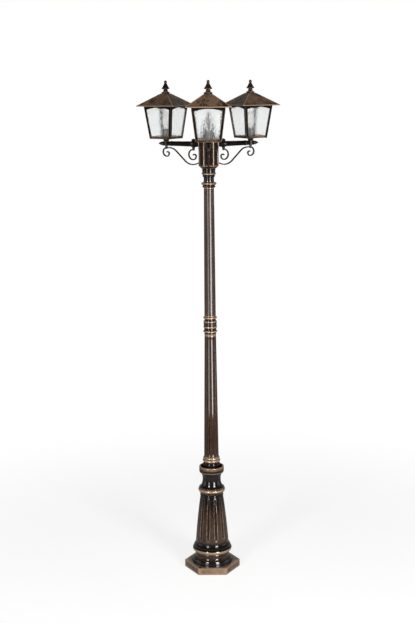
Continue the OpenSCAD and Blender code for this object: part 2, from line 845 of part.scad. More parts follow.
base();
shaft_collar();
lower_shaft();
mid_coupling();
upper_shaft();
neck_capital();
hub();
hub_lid();
tie_tube();
tie_nuts();
tie_washers();
arm_bolts();
arm_front();
arm_right();
arm_left();
band_front();
band_right();
band_left();
tip_front();
tip_right();
tip_left();
scroll_front();
scroll_right();
scroll_left();
curl_front();
curl_right();
curl_left();
cup_front();
cup_right();
cup_left();
body_front();
body_right();
body_left();
glass_front();
glass_right();
glass_left();
holder_front();
holder_right();
holder_left();
bulb_cap_front();
bulb_cap_right();
bulb_cap_left();
bulb_front();
bulb_right();
bulb_left();
roof_front();
roof_right();
roof_left();
finial_front();
finial_right();
finial_left();
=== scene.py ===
"""A three-lantern cast street lamp post in brushed antique bronze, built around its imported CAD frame."""

import math

import bmesh
import bpy
import numpy as np
from mathutils import Matrix, Vector, noise


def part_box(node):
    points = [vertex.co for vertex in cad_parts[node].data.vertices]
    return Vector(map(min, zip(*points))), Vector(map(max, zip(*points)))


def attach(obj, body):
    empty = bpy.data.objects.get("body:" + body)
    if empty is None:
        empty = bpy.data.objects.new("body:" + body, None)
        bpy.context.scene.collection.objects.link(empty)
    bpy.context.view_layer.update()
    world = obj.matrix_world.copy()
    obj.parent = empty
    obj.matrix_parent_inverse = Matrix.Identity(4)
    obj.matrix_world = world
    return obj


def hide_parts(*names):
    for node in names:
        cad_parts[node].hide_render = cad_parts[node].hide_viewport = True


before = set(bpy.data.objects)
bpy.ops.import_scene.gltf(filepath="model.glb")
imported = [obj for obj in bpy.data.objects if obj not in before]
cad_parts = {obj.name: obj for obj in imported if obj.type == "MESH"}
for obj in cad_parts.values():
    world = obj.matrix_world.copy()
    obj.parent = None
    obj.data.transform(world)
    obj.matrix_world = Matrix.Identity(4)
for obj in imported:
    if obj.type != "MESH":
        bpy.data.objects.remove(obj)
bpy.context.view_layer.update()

MM = 0.001
ARMS = ("front", "right", "left")


# ---- camera ----

IMAGE_H = 623
FOCAL_PX = 1200
SENSOR_MM = 36
CAMERA_AT = Vector((-0.0124, -5.6922, 2.3895))
CAMERA_DOWN = math.radians(10.8155)
CAMERA_ROLL = math.radians(-0.56)


def make_camera():
    data = bpy.data.cameras.new("camera")
    data.sensor_width = SENSOR_MM
    data.lens = SENSOR_MM * FOCAL_PX / IMAGE_H
    data.clip_end = 100
    camera = bpy.data.objects.new("camera", data)
    bpy.context.scene.collection.objects.link(camera)
    turn = Matrix.Rotation(math.pi / 2 - CAMERA_DOWN, 4, "X") @ Matrix.Rotation(CAMERA_ROLL, 4, "Z")
    camera.matrix_world = Matrix.Translation(CAMERA_AT) @ turn
    bpy.context.scene.camera = camera


make_camera()


# ---- sizes read from the frame, in millimetres ----

def corners(node):
    low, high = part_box(node)
    return low / MM, high / MM


def centre(node):
    low, high = corners(node)
    return (low + high) / 2


def width_at(node, height):
    """Width along X of a node's points within half a millimetre of a height."""
    xs = [v.co.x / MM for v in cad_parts[node].data.vertices if abs(v.co.z / MM - height) < 0.5]
    return max(xs) - min(xs)


lantern_r = -centre("roof_front").y
arm_angle = {a: math.atan2(centre(f"roof_{a}").y, centre(f"roof_{a}").x) for a in ARMS}
foot_r = corners("base")[1].x
rim_z = corners("base")[1].z
collar_top = corners("shaft_collar")[1].z
lower_top = corners("lower_shaft")[1].z
upper_foot, upper_top = corners("upper_shaft")[0].z, corners("upper_shaft")[1].z
hub_low, hub_high = corners("hub")
hub_flat = corners("hub_lid")[1].y - 1.75
hub_corner = hub_flat / math.cos(math.pi / 6)
arm_z = centre("tip_front").z
tip_x = -corners("tip_front")[0].y
band_x = -centre("band_front").y
body_z, roof_z = corners("body_front")[0].z, corners("roof_front")[0].z + 5
body_w1, body_w2 = width_at("body_front", body_z), width_at("body_front", roof_z)
roof_w = corners("roof_front")[1].x - corners("roof_front")[0].x
finial_z, total_z = corners("roof_front")[1].z, corners("finial_front")[1].z
bulb_z, bulb_top = corners("bulb_front")[0].z, corners("bulb_front")[1].z
holder_z = corners("holder_front")[0].z
side_tilt = math.atan((body_w2 - body_w1) / 2 / (roof_z - body_z))


# ---- outlines ----

def arc(cr, cz, rr, rz, a0, a1, steps=14):
    """Points on an ellipse arc round (cr, cz), angles in degrees."""
    turns = [math.radians(a0 + (a1 - a0) * i / steps) for i in range(steps + 1)]
    return [(cr + rr * math.cos(t), cz + rz * math.sin(t)) for t in turns]


def hollow(cr, cz, rr, rz, a0, a1, steps=12):
    """The same arc, bending inwards."""
    return [(2 * cr - r, z) for r, z in arc(cr, cz, rr, rz, a0, a1, steps)]


def straight(r, z0, z1):
    """A cylinder's share of a stack."""
    return lambda z: np.where((z >= z0) & (z <= z1), r, 0.0)


def bead(r, z0, h):
    """A half-round ring's share of a stack."""
    def edge(z):
        bow = np.sqrt(np.maximum(h * h / 4 - (z - z0) ** 2, 0))
        return np.where(abs(z - z0) <= h / 2, r - h / 2 + bow, 0.0)

    return edge


def cove(r, depth, z0, half):
    """A hollow moulding's share of a stack."""
    share = 0.87

    def edge(z):
        bow = np.sqrt(np.maximum(1 - ((z - z0) / half) ** 2, 0))
        return np.where(abs(z - z0) <= half * share, r - depth * bow, 0.0)

    return edge


def stack(z0, z1, *shapes, step=0.4):
    """The outline, bottom to top, of turned shapes standing in each other."""
    z = np.linspace(z0, z1, int((z1 - z0) / step) + 1)
    r = np.max([s(z) for s in shapes], axis=0)
    return simplified(np.column_stack([r, z]), 0.03)


def simplified(points, tolerance):
    """Leaves out points that lie within the tolerance of the line through their neighbours."""
    if len(points) < 3:
        return [tuple(p) for p in points]
    a, b = points[0], points[-1]
    along = (b - a) / max(np.linalg.norm(b - a), 1e-9)
    away = points - a
    off = abs(away[:, 0] * along[1] - away[:, 1] * along[0])
    worst = int(off.argmax())
    if off[worst] < tolerance:
        return [tuple(a), tuple(b)]
    return simplified(points[: worst + 1], tolerance)[:-1] + simplified(points[worst:], tolerance)


def shaped(points, kind):
    """Marks an outline's points as round (0) or following the polygon (1)."""
    return [(p[0], p[1], kind) for p in points]


def resampled(outline, spacing, closed):
    rows = np.array([tuple(p) if len(p) == 3 else (p[0], p[1], 0.0) for p in outline], float)
    ends = np.vstack([rows, rows[:1]]) if closed else rows
    made = []
    for a, b in zip(ends[:-1], ends[1:]):
        pieces = max(1, math.ceil(math.hypot(*(b - a)[:2]) / spacing))
        made += [a + (b - a) * i / pieces for i in range(pieces)]
    if not closed:
        made.append(ends[-1])
    return np.array(made)


# ---- shells: a shell is its points in millimetres and its faces ----

def from_nearest(turn, count, at=0.0):
    """The angle from the nearest of a ring's evenly spaced members, one of which is at an angle."""
    share = 2 * math.pi / count
    return (turn - at + share / 2) % share - share / 2


def polygon_reach(turn, sides, flat_at, ease):
    """How far a polygon of apothem 1 reaches in each direction, its corners eased."""
    return np.minimum(1 / np.cos(from_nearest(turn, sides, flat_at)), ease / math.cos(math.pi / sides))


def tube_faces(rows, sides, closed):
    """The faces between rings of points, the last ring joined to the first if closed."""
    faces = []
    for i in range(rows if closed else rows - 1):
        a, b = i * sides, (i + 1) % rows * sides
        for j in range(sides):
            k = (j + 1) % sides
            faces.append((a + j, a + k, b + k, b + j))
    return faces


def lathe(outline, sides=144, spacing=4.0, closed=True, polygon=(6, math.radians(30), 0.995), carve=()):
    """Turns an outline round Z. Points marked 1 follow the polygon, their radius its apothem."""
    rows = resampled(outline, spacing, closed)
    turn = np.arange(sides) * 2 * math.pi / sides
    reach = polygon_reach(turn, *polygon)
    radius = rows[:, :1] * (1 + rows[:, 2:] * (reach[None, :] - 1))
    for cut in carve:
        radius = cut(radius, rows[:, 1:2], turn[None, :])
    height = np.repeat(rows[:, 1:2], sides, axis=1)
    points = np.stack([radius * np.cos(turn), radius * np.sin(turn), height], axis=2).reshape(-1, 3)
    return points, tube_faces(len(rows), sides, closed)


FLUTES, FLUTE_AT = 12, math.radians(15)


def flutes(r0, z0, r1, z1, w0, w1, sink):
    """Round-ended grooves along a tapered side, as a carver for lathe(), their edges rolled over."""
    soft = 0.3

    def cut(radius, z, turn):
        off = from_nearest(turn, FLUTES, FLUTE_AT)
        t = np.clip((z - z0) / (z1 - z0), 0, 1)
        beyond = np.maximum(z0 - z, 0) + np.maximum(z - z1, 0)
        w = np.sqrt(np.maximum((w0 + (w1 - w0) * t) ** 2 - beyond**2, 0))
        axis = r0 + w0 * (1 - sink) + (r1 - r0) * (z - z0) / (z1 - z0)
        room = w**2 - (axis * np.sin(off)) ** 2
        groove = axis * np.cos(off) - np.sqrt(np.maximum(room, 0))
        above = np.where(room > 0, groove - radius, 9.0)
        return radius - soft * np.log1p(np.exp(-above / soft))

    return cut


def channels(r0, z0, r1, z1, w0, w1, sink):
    """Shallow flat-bottomed flutes along a tapered tube, with round ends, as a carver for lathe()."""
    edge = 0.9

    def cut(radius, z, turn):
        off = from_nearest(turn, FLUTES, FLUTE_AT)
        t = np.clip((z - z0) / (z1 - z0), 0, 1)
        beyond = np.maximum(z0 - z, 0) + np.maximum(z - z1, 0)
        away = np.hypot(radius * np.sin(off), beyond) - (w0 + (w1 - w0) * t)
        deep = np.clip(-away / edge + 0.5, 0, 1)
        deep = deep * deep * (3 - 2 * deep)
        side = r0 + (r1 - r0) * (z - z0) / (z1 - z0)
        floor = (side - sink) / np.cos(off)
        return np.where(radius > side - 3, np.minimum(radius, radius + (floor - radius) * deep), radius)

    return cut


def sweep(path, across, section):
    """Carries a section along a path in a plane, with rounded ends; across is that plane's normal."""
    end, close_r = 0.8, 0.55
    path = np.array(path, float)
    ahead = np.gradient(path, axis=0)
    ahead /= np.linalg.norm(ahead, axis=1)[:, None]
    across = np.array(across, float)
    side = np.cross(across, ahead)
    section = np.array(section, float)
    rows = np.vstack([path[:1] - ahead[:1] * end, path, path[-1:] + ahead[-1:] * end])
    side = np.vstack([side[:1], side, side[-1:]])
    scale = np.concatenate([[close_r], np.ones(len(path)), [close_r]])
    points = rows[:, None, :] + scale[:, None, None] * (
        side[:, None, :] * section[None, :, :1] + across[None, None, :] * section[None, :, 1:])
    m, n = len(section), len(rows)
    faces = tube_faces(n, m, closed=False)
    faces += [tuple(range(m))[::-1], tuple((n - 1) * m + j for j in range(m))]
    return points.reshape(-1, 3), faces


def turned_on_arm(outline, x=lantern_r, sides=72, spacing=3.0, closed=False):
    """A turned shape that stands on the arm, on the lantern's axis if no other is given."""
    return moved(lathe(outline, sides=sides, spacing=spacing, closed=closed), Matrix.Translation((x, 0, 0)))


def from_bmesh(bm):
    bm.verts.index_update()
    points = np.array([v.co for v in bm.verts], float).reshape(-1, 3)
    faces = [tuple(v.index for v in f.verts) for f in bm.faces]
    bm.free()
    return points, faces


def grid_cut(bm, spacing):
    """Cuts every face along planes a spacing apart, so that flat faces can carry detail."""
    points = np.array([v.co for v in bm.verts])
    for k in range(3):
        low, high = points[:, k].min(), points[:, k].max()
        count = int((high - low) / spacing)
        for i in range(1, count + 1):
            at, normal = Vector((0, 0, 0)), Vector((0, 0, 0))
            at[k], normal[k] = low + (high - low) * i / (count + 1), 1
            geometry = bm.verts[:] + bm.edges[:] + bm.faces[:]
            bmesh.ops.bisect_plane(bm, geom=geometry, dist=1e-4, plane_co=at, plane_no=normal)


def eased(bm, edges, ease, spacing):
    """Rounds edges over and cuts the faces small."""
    bmesh.ops.bevel(bm, geom=edges, offset=ease, segments=2, profile=0.5, affect="EDGES",
                    clamp_overlap=True)
    grid_cut(bm, spacing)
    return from_bmesh(bm)


def block(low, high, ease=0.8, spacing=3.0, top=1.0):
    """A box with eased edges, its top face scaled."""
    bm = bmesh.new()
    bmesh.ops.create_cube(bm, size=1)
    low, high = np.array(low, float), np.array(high, float)
    for v in bm.verts:
        share = top if v.co.z > 0 else 1.0
        v.co = Vector((low + high) / 2 + np.array(v.co) * (high - low) * np.array([share, share, 1]))
    return eased(bm, bm.edges[:], ease, spacing)


def refined(node, turn, ease, spacing):
    """A CAD node's own shape with its sharp edges eased, turned about Z and cut into small faces."""
    bm = bmesh.new()
    bm.from_mesh(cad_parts[node].data)
    bmesh.ops.transform(bm, matrix=Matrix.Rotation(turn, 4, "Z") @ Matrix.Scale(1 / MM, 4), verts=bm.verts)
    bmesh.ops.remove_doubles(bm, verts=bm.verts, dist=1e-3)
    bmesh.ops.dissolve_limit(bm, angle_limit=math.radians(0.6), verts=bm.verts, edges=bm.edges)
    sharp = [e for e in bm.edges if len(e.link_faces) == 2 and e.calc_face_angle() > math.radians(30)]
    return eased(bm, sharp, ease, spacing)


def moved(shell, matrix):
    m = np.array(matrix)
    points = shell[0] @ m[:3, :3].T + m[:3, 3]
    faces = shell[1] if np.linalg.det(m[:3, :3]) > 0 else [f[::-1] for f in shell[1]]
    return points, faces


TO_X = Matrix.Rotation(math.radians(90), 4, "Y")
AT_LANTERN = Matrix.Translation((lantern_r, 0, 0))


# ---- meshes ----

def positions(mesh):
    co = np.zeros(len(mesh.vertices) * 3)
    mesh.vertices.foreach_get("co", co)
    return co.reshape(-1, 3) / MM


def relief_of(mesh, reach, depth):
    """How far each point stands out of what is round it: 1 on a ridge, -1 in a hollow."""
    count = len(mesh.vertices)
    co = positions(mesh)
    ends = np.zeros(len(mesh.edges) * 2, int)
    mesh.edges.foreach_get("vertices", ends)
    a, b = ends[::2], ends[1::2]
    length = np.maximum(np.linalg.norm(co[a] - co[b], axis=1), 0.02)
    weight = 1 / length

    def gathered(at_a, at_b):
        return np.bincount(a, weight * at_a, count) + np.bincount(b, weight * at_b, count)

    total = np.maximum(gathered(1, 1), 1e-9)
    spread = gathered(length**2, length**2) / total
    steps = int(np.clip(reach**2 / (0.5 * np.median(spread)), 3, 120))
    smooth = co.copy()
    for _ in range(steps):
        for k in range(3):
            smooth[:, k] = 0.5 * smooth[:, k] + 0.5 * gathered(smooth[b, k], smooth[a, k]) / total
    normals = np.zeros(count * 3, np.float32)
    mesh.vertex_normals.foreach_get("vector", normals)
    return np.clip(((co - smooth) * normals.reshape(-1, 3)).sum(1) / depth, -1, 1)


def grain_up(co):
    """Brush strokes that run up and down."""
    return co * [1, 1, 0.1]


def grain_out(co):
    """Brush strokes that run along the arm."""
    return co * [0.1, 1, 1]


def grain_roof(co):
    """Brush strokes that run down a lantern's four slopes."""
    x, y, z = co[:, 0] - lantern_r * MM, co[:, 1], co[:, 2]
    sideways = np.where(abs(x) > abs(y), y + 3 * np.sign(x), x + 7 * np.sign(y))
    down = np.maximum(abs(x), abs(y))
    return np.column_stack([sideways, down * 0.1, z * 0.1])


def by_height(rows):
    """How rubbed a turned piece is at each height, from rows of (low, high, amount); on some pieces a row
    paints highlight or shade instead.
    """
    soft = 1.5

    def rub_and_shade(co):
        z = co[:, 2]
        total = np.zeros(len(z))
        for low, high, amount in rows:
            up = np.clip((z - low) / soft + 0.5, 0, 1)
            down = np.clip((high - z) / soft + 0.5, 0, 1)
            total += amount * up * down
        return total

    return rub_and_shade


def make_mesh(name, shells, grain=grain_up, reach=5.0, depth=1.0, rub_and_shade=None):
    points, faces, base = [], [], 0
    for p, f in shells:
        points.append(p)
        faces += [tuple(i + base for i in face) for face in f]
        base += len(p)
    co = np.vstack(points) * MM
    mesh = bpy.data.meshes.new(name)
    mesh.from_pydata(co.tolist(), [], faces)
    bm = bmesh.new()
    bm.from_mesh(mesh)
    bmesh.ops.remove_doubles(bm, verts=bm.verts, dist=2e-6)
    bm.to_mesh(mesh)
    bm.free()
    mesh.validate()
    mesh.shade_smooth()
    mesh.set_sharp_from_angle(angle=math.radians(40))
    store = mesh.attributes.new("relief", "FLOAT", "POINT")
    store.data.foreach_set("value", relief_of(mesh, reach, depth).astype(np.float32))
    co = positions(mesh)
    store = mesh.attributes.new("grain", "FLOAT_VECTOR", "POINT")
    store.data.foreach_set("vector", grain(co * MM).astype(np.float32).ravel())
    # rub_and_shade holds brushed wear and, on the pedestal and the lantern frames, painted reflection,
    # highlight and shade.
    if rub_and_shade is not None:
        store = mesh.attributes.new("rub_and_shade", "FLOAT", "POINT")
        store.data.foreach_set("value", rub_and_shade(co).astype(np.float32))
    return mesh


def show(name, mesh, body, nodes, material):
    obj = bpy.data.objects.new(name, mesh)
    bpy.context.scene.collection.objects.link(obj)
    if not mesh.materials:
        mesh.materials.append(material)
    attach(obj, body)
    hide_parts(*nodes)
    return obj


def on_each_arm(name, mesh, body, nodes, material):
    """Sets a mesh drawn along +X on each of the three arms. Bodies and nodes name the arm with a *."""
    for arm in ARMS:
        copy = mesh.copy()
        copy.transform(Matrix.Rotation(arm_angle[arm], 4, "Z"))
        own = [node.replace("*", arm) for node in nodes]
        show(f"{name}_{arm}", copy, body.replace("*", arm), own, material)


# ---- materials ----

class Nodes:
    """A node tree, with short calls for the nodes that this scene needs."""

    def __init__(self, owner):
        owner.use_nodes = True
        self.tree = owner.node_tree

    def new(self, kind):
        return self.tree.nodes.new("ShaderNode" + kind)

    def put(self, socket, value):
        if isinstance(value, bpy.types.NodeSocket):
            self.tree.links.new(value, socket)
        else:
            socket.default_value = value

    def math(self, operation, a, b=0.0):
        n = self.new("Math")
        n.operation = operation
        self.put(n.inputs[0], a)
        self.put(n.inputs[1], b)
        return n.outputs[0]

    def rise(self, value, low, high, to_low=0.0, to_high=1.0, kind="SMOOTHSTEP"):
        n = self.new("MapRange")
        n.interpolation_type = kind
        for socket, v in zip(("Value", "From Min", "From Max", "To Min", "To Max"),
                             (value, low, high, to_low, to_high)):
            self.put(n.inputs[socket], v)
        return n.outputs["Result"]

    def either_ray(self, first, second):
        """1 for two kinds of ray, such as Camera and Transmission, and 0 for the others."""
        path = self.new("LightPath")
        return self.math("MAXIMUM", path.outputs[f"Is {first} Ray"], path.outputs[f"Is {second} Ray"])


class Paint(Nodes):
    """A material's node tree."""

    def __init__(self, name):
        self.material = bpy.data.materials.new(name)
        super().__init__(self.material)
        self.shader = self.tree.nodes["Principled BSDF"]
        self.place = self.new("TexCoord").outputs["Object"]

    def set(self, **values):
        for name, value in values.items():
            self.put(self.shader.inputs[name.replace("_", " ")], value)

    def attribute(self, name, output="Fac"):
        n = self.new("Attribute")
        n.attribute_name = name
        return n.outputs[output]

    def noise(self, scale, detail=3.0, rough=0.55, where=None):
        n = self.new("TexNoise")
        self.put(n.inputs["Vector"], self.place if where is None else where)
        self.put(n.inputs["Scale"], scale)
        self.put(n.inputs["Detail"], detail)
        self.put(n.inputs["Roughness"], rough)
        return n.outputs["Fac"]

    def total(self, first, *others):
        for other in others:
            first = self.math("ADD", first, other)
        return first

    def swing(self, value, amount):
        """Noise that swings either way from nothing."""
        return self.math("MULTIPLY", self.math("SUBTRACT", value, 0.5), amount)

    def cells(self, scale):
        n = self.new("TexVoronoi")
        n.feature = "SMOOTH_F1"
        self.put(n.inputs["Vector"], self.place)
        self.put(n.inputs["Scale"], scale)
        return n.outputs["Distance"]

    def mix(self, share, a, b):
        n = self.new("Mix")
        n.data_type = "RGBA"
        for socket, v in zip((n.inputs[0], n.inputs[6], n.inputs[7]), (share, a, b)):
            self.put(socket, (*v, 1) if isinstance(v, tuple) else v)
        return n.outputs[2]

    def bump(self, height, distance, strength=1.0, after=None):
        n = self.new("Bump")
        self.put(n.inputs["Height"], height)
        self.put(n.inputs["Distance"], distance)
        self.put(n.inputs["Strength"], strength)
        if after is not None:
            self.put(n.inputs["Normal"], after)
        return n.outputs["Normal"]

    def show_through(self, share, colour=(1, 1, 1, 1)):
        """Lets light straight through where, or for the rays for which, the share is 1."""
        clear = self.new("BsdfTransparent")
        clear.inputs["Color"].default_value = colour
        both = self.new("MixShader")
        for socket, value in zip(both.inputs, (share, self.shader.outputs[0], clear.outputs[0])):
            self.put(socket, value)
        self.put(self.tree.nodes["Material Output"].inputs["Surface"], both.outputs[0])


# Where the floor fades out, in metres from the post, and its glow to the camera and in reflections
FADE_FROM, FADE_TO = 0.7, 2.6
FLOOR_GLOW, FLOOR_REFLECTED = 0.8, 0.24


def antique(name, cover, gild, bronze=(0.042, 0.022, 0.014), gloss=0.2, worn=0.5, brush=0.8, mottle=0.9,
            lacquer=0.4):
    """Black enamel dry-brushed with bronze and gold; cover and gild are how much of each there is."""
    dark, gold = (0.004, 0.0025, 0.0022), (0.44, 0.3, 0.195)
    p = Paint(name)
    strokes = p.noise(420, 3, 0.6, p.attribute("grain", "Vector"))
    patches = p.noise(20, 4, 0.6)
    specks = p.noise(1500, 2, 0.5)
    # The rub_and_shade attribute brings in brushed wear and, on some pieces, painted highlight, reflection
    # and shade.
    brushed = p.total(p.swing(strokes, brush), p.attribute("rub_and_shade"), p.swing(patches, mottle),
                      p.math("MULTIPLY", p.attribute("relief"), worn))
    bronzed = p.rise(p.math("ADD", brushed, cover), -0.05, 0.55)
    gilded = p.rise(p.math("ADD", brushed, gild), 0.4, 0.95)
    under = p.mix(p.rise(patches, 0.3, 0.7), dark, tuple(1.8 * c for c in dark))
    brown = p.mix(strokes, tuple(0.6 * c for c in bronze), tuple(1.5 * c for c in bronze))
    colour = p.mix(bronzed, under, brown)
    colour = p.mix(gilded, colour, p.mix(strokes, tuple(0.72 * c for c in gold), gold))
    rough = p.math("ADD", p.rise(bronzed, 0, 1, gloss, gloss + 0.13), p.math("MULTIPLY", specks, 0.05))
    metal = p.math("MAXIMUM", p.math("MULTIPLY", gilded, 0.55), p.math("MULTIPLY", bronzed, 0.1))
    orange_peel = p.bump(p.noise(190, 2, 0.5), 0.00008, 0.4)
    p.set(Base_Color=colour, Roughness=rough, Metallic=metal, Specular_IOR_Level=0.05,
          Normal=p.bump(specks, 0.00006, 0.5, orange_peel),
          Coat_Weight=lacquer, Coat_Roughness=0.05, Coat_IOR=1.7)
    return p.material


def hammered_glass():
    p = Paint("hammered_glass")
    ripple = p.bump(p.noise(110, 2, 0.5), 0.0012, 0.8)
    seeds = p.bump(p.cells(190), 0.0006, 0.6, ripple)
    p.set(Base_Color=p.mix(p.noise(40, 3), (0.93, 0.94, 0.94), (0.97, 0.975, 0.972)), Roughness=0.16,
          Transmission_Weight=1.0, IOR=1.45, Normal=seeds)
    p.show_through(p.either_ray("Shadow", "Diffuse"), (0.9, 0.92, 0.92, 1))
    return p.material


def opal_glass():
    p = Paint("opal_glass")
    cloud = p.noise(60, 3)
    p.set(Base_Color=p.mix(cloud, (0.74, 0.735, 0.725), (0.82, 0.815, 0.805)),
          Roughness=p.rise(cloud, 0.2, 0.8, 0.22, 0.3), Transmission_Weight=0.92, IOR=1.12,
          Normal=p.bump(p.noise(500, 2), 0.0001, 0.4))
    return p.material


def bare_metal(name, scale, uneven, dull, bright, smooth, matt, fine, depth):
    """Metal worn from dull to bright, with fine scratches."""
    p = Paint(name)
    worn = p.noise(scale, 4, uneven)
    p.set(Base_Color=p.mix(worn, dull, bright), Metallic=1.0, Roughness=p.rise(worn, 0.2, 0.8, smooth, matt),
          Normal=p.bump(p.noise(fine, 2), depth, 0.5))
    return p.material


def sleeve_plastic():
    p = Paint("sleeve_plastic")
    grain = p.noise(900, 3)
    p.set(Base_Color=p.mix(p.noise(70, 3), (0.055, 0.052, 0.048), (0.1, 0.095, 0.088)),
          Roughness=p.rise(grain, 0.2, 0.8, 0.42, 0.58), Normal=p.bump(grain, 0.00006, 0.5))
    return p.material


def floor_paint():
    """A pale floor that fades into the white behind it, and looks dimmer in reflections."""
    p = Paint("studio_floor")
    seen = p.either_ray("Camera", "Transmission")
    p.set(Base_Color=p.mix(p.noise(3, 3), (0.2, 0.198, 0.197), (0.21, 0.208, 0.207)), Roughness=0.9,
          Specular_IOR_Level=0.1, Emission_Color=(1, 1, 1, 1),
          Emission_Strength=p.rise(seen, 0, 1, FLOOR_REFLECTED, FLOOR_GLOW))
    away = p.new("VectorMath")
    away.operation = "LENGTH"
    p.put(away.inputs[0], p.place)
    p.show_through(p.rise(away.outputs["Value"], FADE_FROM, FADE_TO))
    return p.material


PEDESTAL = antique("pedestal_paint", 0.01, 0.04, bronze=(0.06, 0.029, 0.016), brush=0.5, mottle=0.4,
                   lacquer=0.6)
TURNED = antique("turned_paint", 0.0, 0.06, gloss=0.16, mottle=0.5, lacquer=0.45)
SHAFT = antique("shaft_paint", 0.2, -0.1, bronze=(0.052, 0.024, 0.0125), worn=1.2, gloss=0.14, brush=0.4,
                mottle=0.5, lacquer=0.55)
IRON = antique("iron_paint", -0.2, -0.2)
HUB = antique("hub_paint", 0.06, -0.05, worn=0.6, brush=1.2)
FRAME = antique("frame_paint", -0.12, -0.08)
ROOF = antique("roof_paint", 0.34, 0.16, bronze=(0.155, 0.092, 0.057), worn=0.8, brush=1.2, mottle=1.6,
               lacquer=0.15)
BRASS = bare_metal("brass", 300, 0.55, (0.42, 0.29, 0.12), (0.74, 0.56, 0.28), 0.22, 0.42, 1200, 0.00005)
STEEL = bare_metal("steel", 260, 0.6, (0.4, 0.4, 0.39), (0.62, 0.62, 0.6), 0.28, 0.45, 1600, 0.00004)
GLASS, OPAL, SLEEVE = hammered_glass(), opal_glass(), sleeve_plastic()


# ---- pedestal ----

ANCHOR_R, ANCHOR_D = 120, 12


def pedestal_shell():
    foot_t, ovolo_r, torus_r, cone_r0, cone_r1, cone_top = 35, 98, 97, 81, 56.5, 373
    groove_z, torus_z, bell_r, waist_r, cup_r = foot_t + 91, foot_t + 67, 66.5, 45, 61
    foot_flat = foot_r * math.cos(math.radians(30))
    ease = 1.6
    cone_foot, cone_bulge = groove_z + 17, 8
    cone = [(cone_r0 + (cone_r1 - cone_r0) * t + cone_bulge * t * (1 - t),
             cone_foot + (cone_top - cone_foot) * t) for t in np.linspace(0, 1, 9)]
    hex_part = [(foot_flat - ease, 0), (foot_flat - 0.4, 0.5), (foot_flat, ease)]
    hex_part += arc(foot_flat - ease, foot_t - ease, ease, ease, 0, 90, 4)
    outline = [(ovolo_r - 14, 0, 0.0)] + shaped(hex_part, 1.0) + [(ovolo_r + 8, foot_t, 0.25)] + shaped(
        [(ovolo_r + 0.6, foot_t)]
        + arc(ovolo_r - 12, foot_t + 2, 12, 23, 0, 80)
        + [(ovolo_r - 12.5, foot_t + 26)]
        + hollow(ovolo_r - 11, foot_t + 38, 4, 12, -90, 90)
        + [(torus_r - 11, foot_t + 54)]
        + arc(torus_r - 13, torus_z, 13, 13, -75, 75, 18)
        + [(torus_r - 6.5, torus_z + 14), (torus_r - 6.5, torus_z + 18), (torus_r - 11, torus_z + 19.5)]
        + [(cone_r0 + 2, groove_z), (cone_r0 + 5, groove_z + 2)]
        + hollow(cone_r0 + 5, groove_z + 16, 5, 14, -80, 0)
        + cone
        + arc(cone_r1 - 3.5, cone_top + 7, 5, 5, -80, 80)
        + hollow(cone_r1 + 8.5, cone_top + 14, 8, 12, 0, 80)
        + arc(bell_r - 6, cone_top + 34, 6, 7, -80, 80)
        + [(bell_r - 4, cone_top + 43), (bell_r - 4, cone_top + 46)]
        + hollow(waist_r + 21, cone_top + 86, 21, 40, -80, 0, 18)
        + hollow(waist_r + 4, cone_top + 92, 4, 16, 0, 80)
        + [(waist_r + 4, rim_z - 41)]
        + arc(cup_r - 10, rim_z - 24, 10, 12, -80, 0)
        + arc(cup_r - 4, rim_z - 4, 4, 4, 0, 180)
        + [(cup_r - 8, rim_z - 28), (6.7, rim_z - 28), (6.7, rim_z - 46), (waist_r - 20, rim_z - 46)]
        + [(waist_r - 11, rim_z - 58), (waist_r - 11, cone_top + 60), (cone_r1 - 14, cone_top)]
        + [(cone_r0 - 12, groove_z), (ovolo_r - 20, foot_t + 30)], 0.0)
    grooves = flutes(cone_r0 + 1, groove_z + 38, cone_r1 + 2, cone_top - 14, 8, 8 * 0.72, 0.72)
    return lathe(outline, sides=336, spacing=3.5, carve=[grooves])


def drilled(mesh):
    """The pedestal's mesh with its three anchor holes."""
    tools = []
    for i in range(3):
        turn = Matrix.Rotation(math.radians(120 * i), 4, "Z")
        pin = [(0, -5), (ANCHOR_D / 2, -5), (ANCHOR_D / 2, 50), (0, 50)]
        pin = lathe(pin, sides=40, spacing=60, closed=False)
        tools.append(moved(pin, turn @ Matrix.Translation((ANCHOR_R, 0, 0))))
    tool = bpy.data.objects.new("anchor_tool", make_mesh("anchor_tool", tools))
    work = bpy.data.objects.new("pedestal_work", mesh)
    for o in (tool, work):
        bpy.context.scene.collection.objects.link(o)
    cut = work.modifiers.new("anchors", "BOOLEAN")
    cut.object, cut.operation, cut.solver = tool, "DIFFERENCE", "EXACT"
    result = bpy.data.meshes.new_from_object(work.evaluated_get(bpy.context.evaluated_depsgraph_get()))
    for o in (tool, work):
        bpy.data.objects.remove(o)
    result.name = "pedestal"
    return result


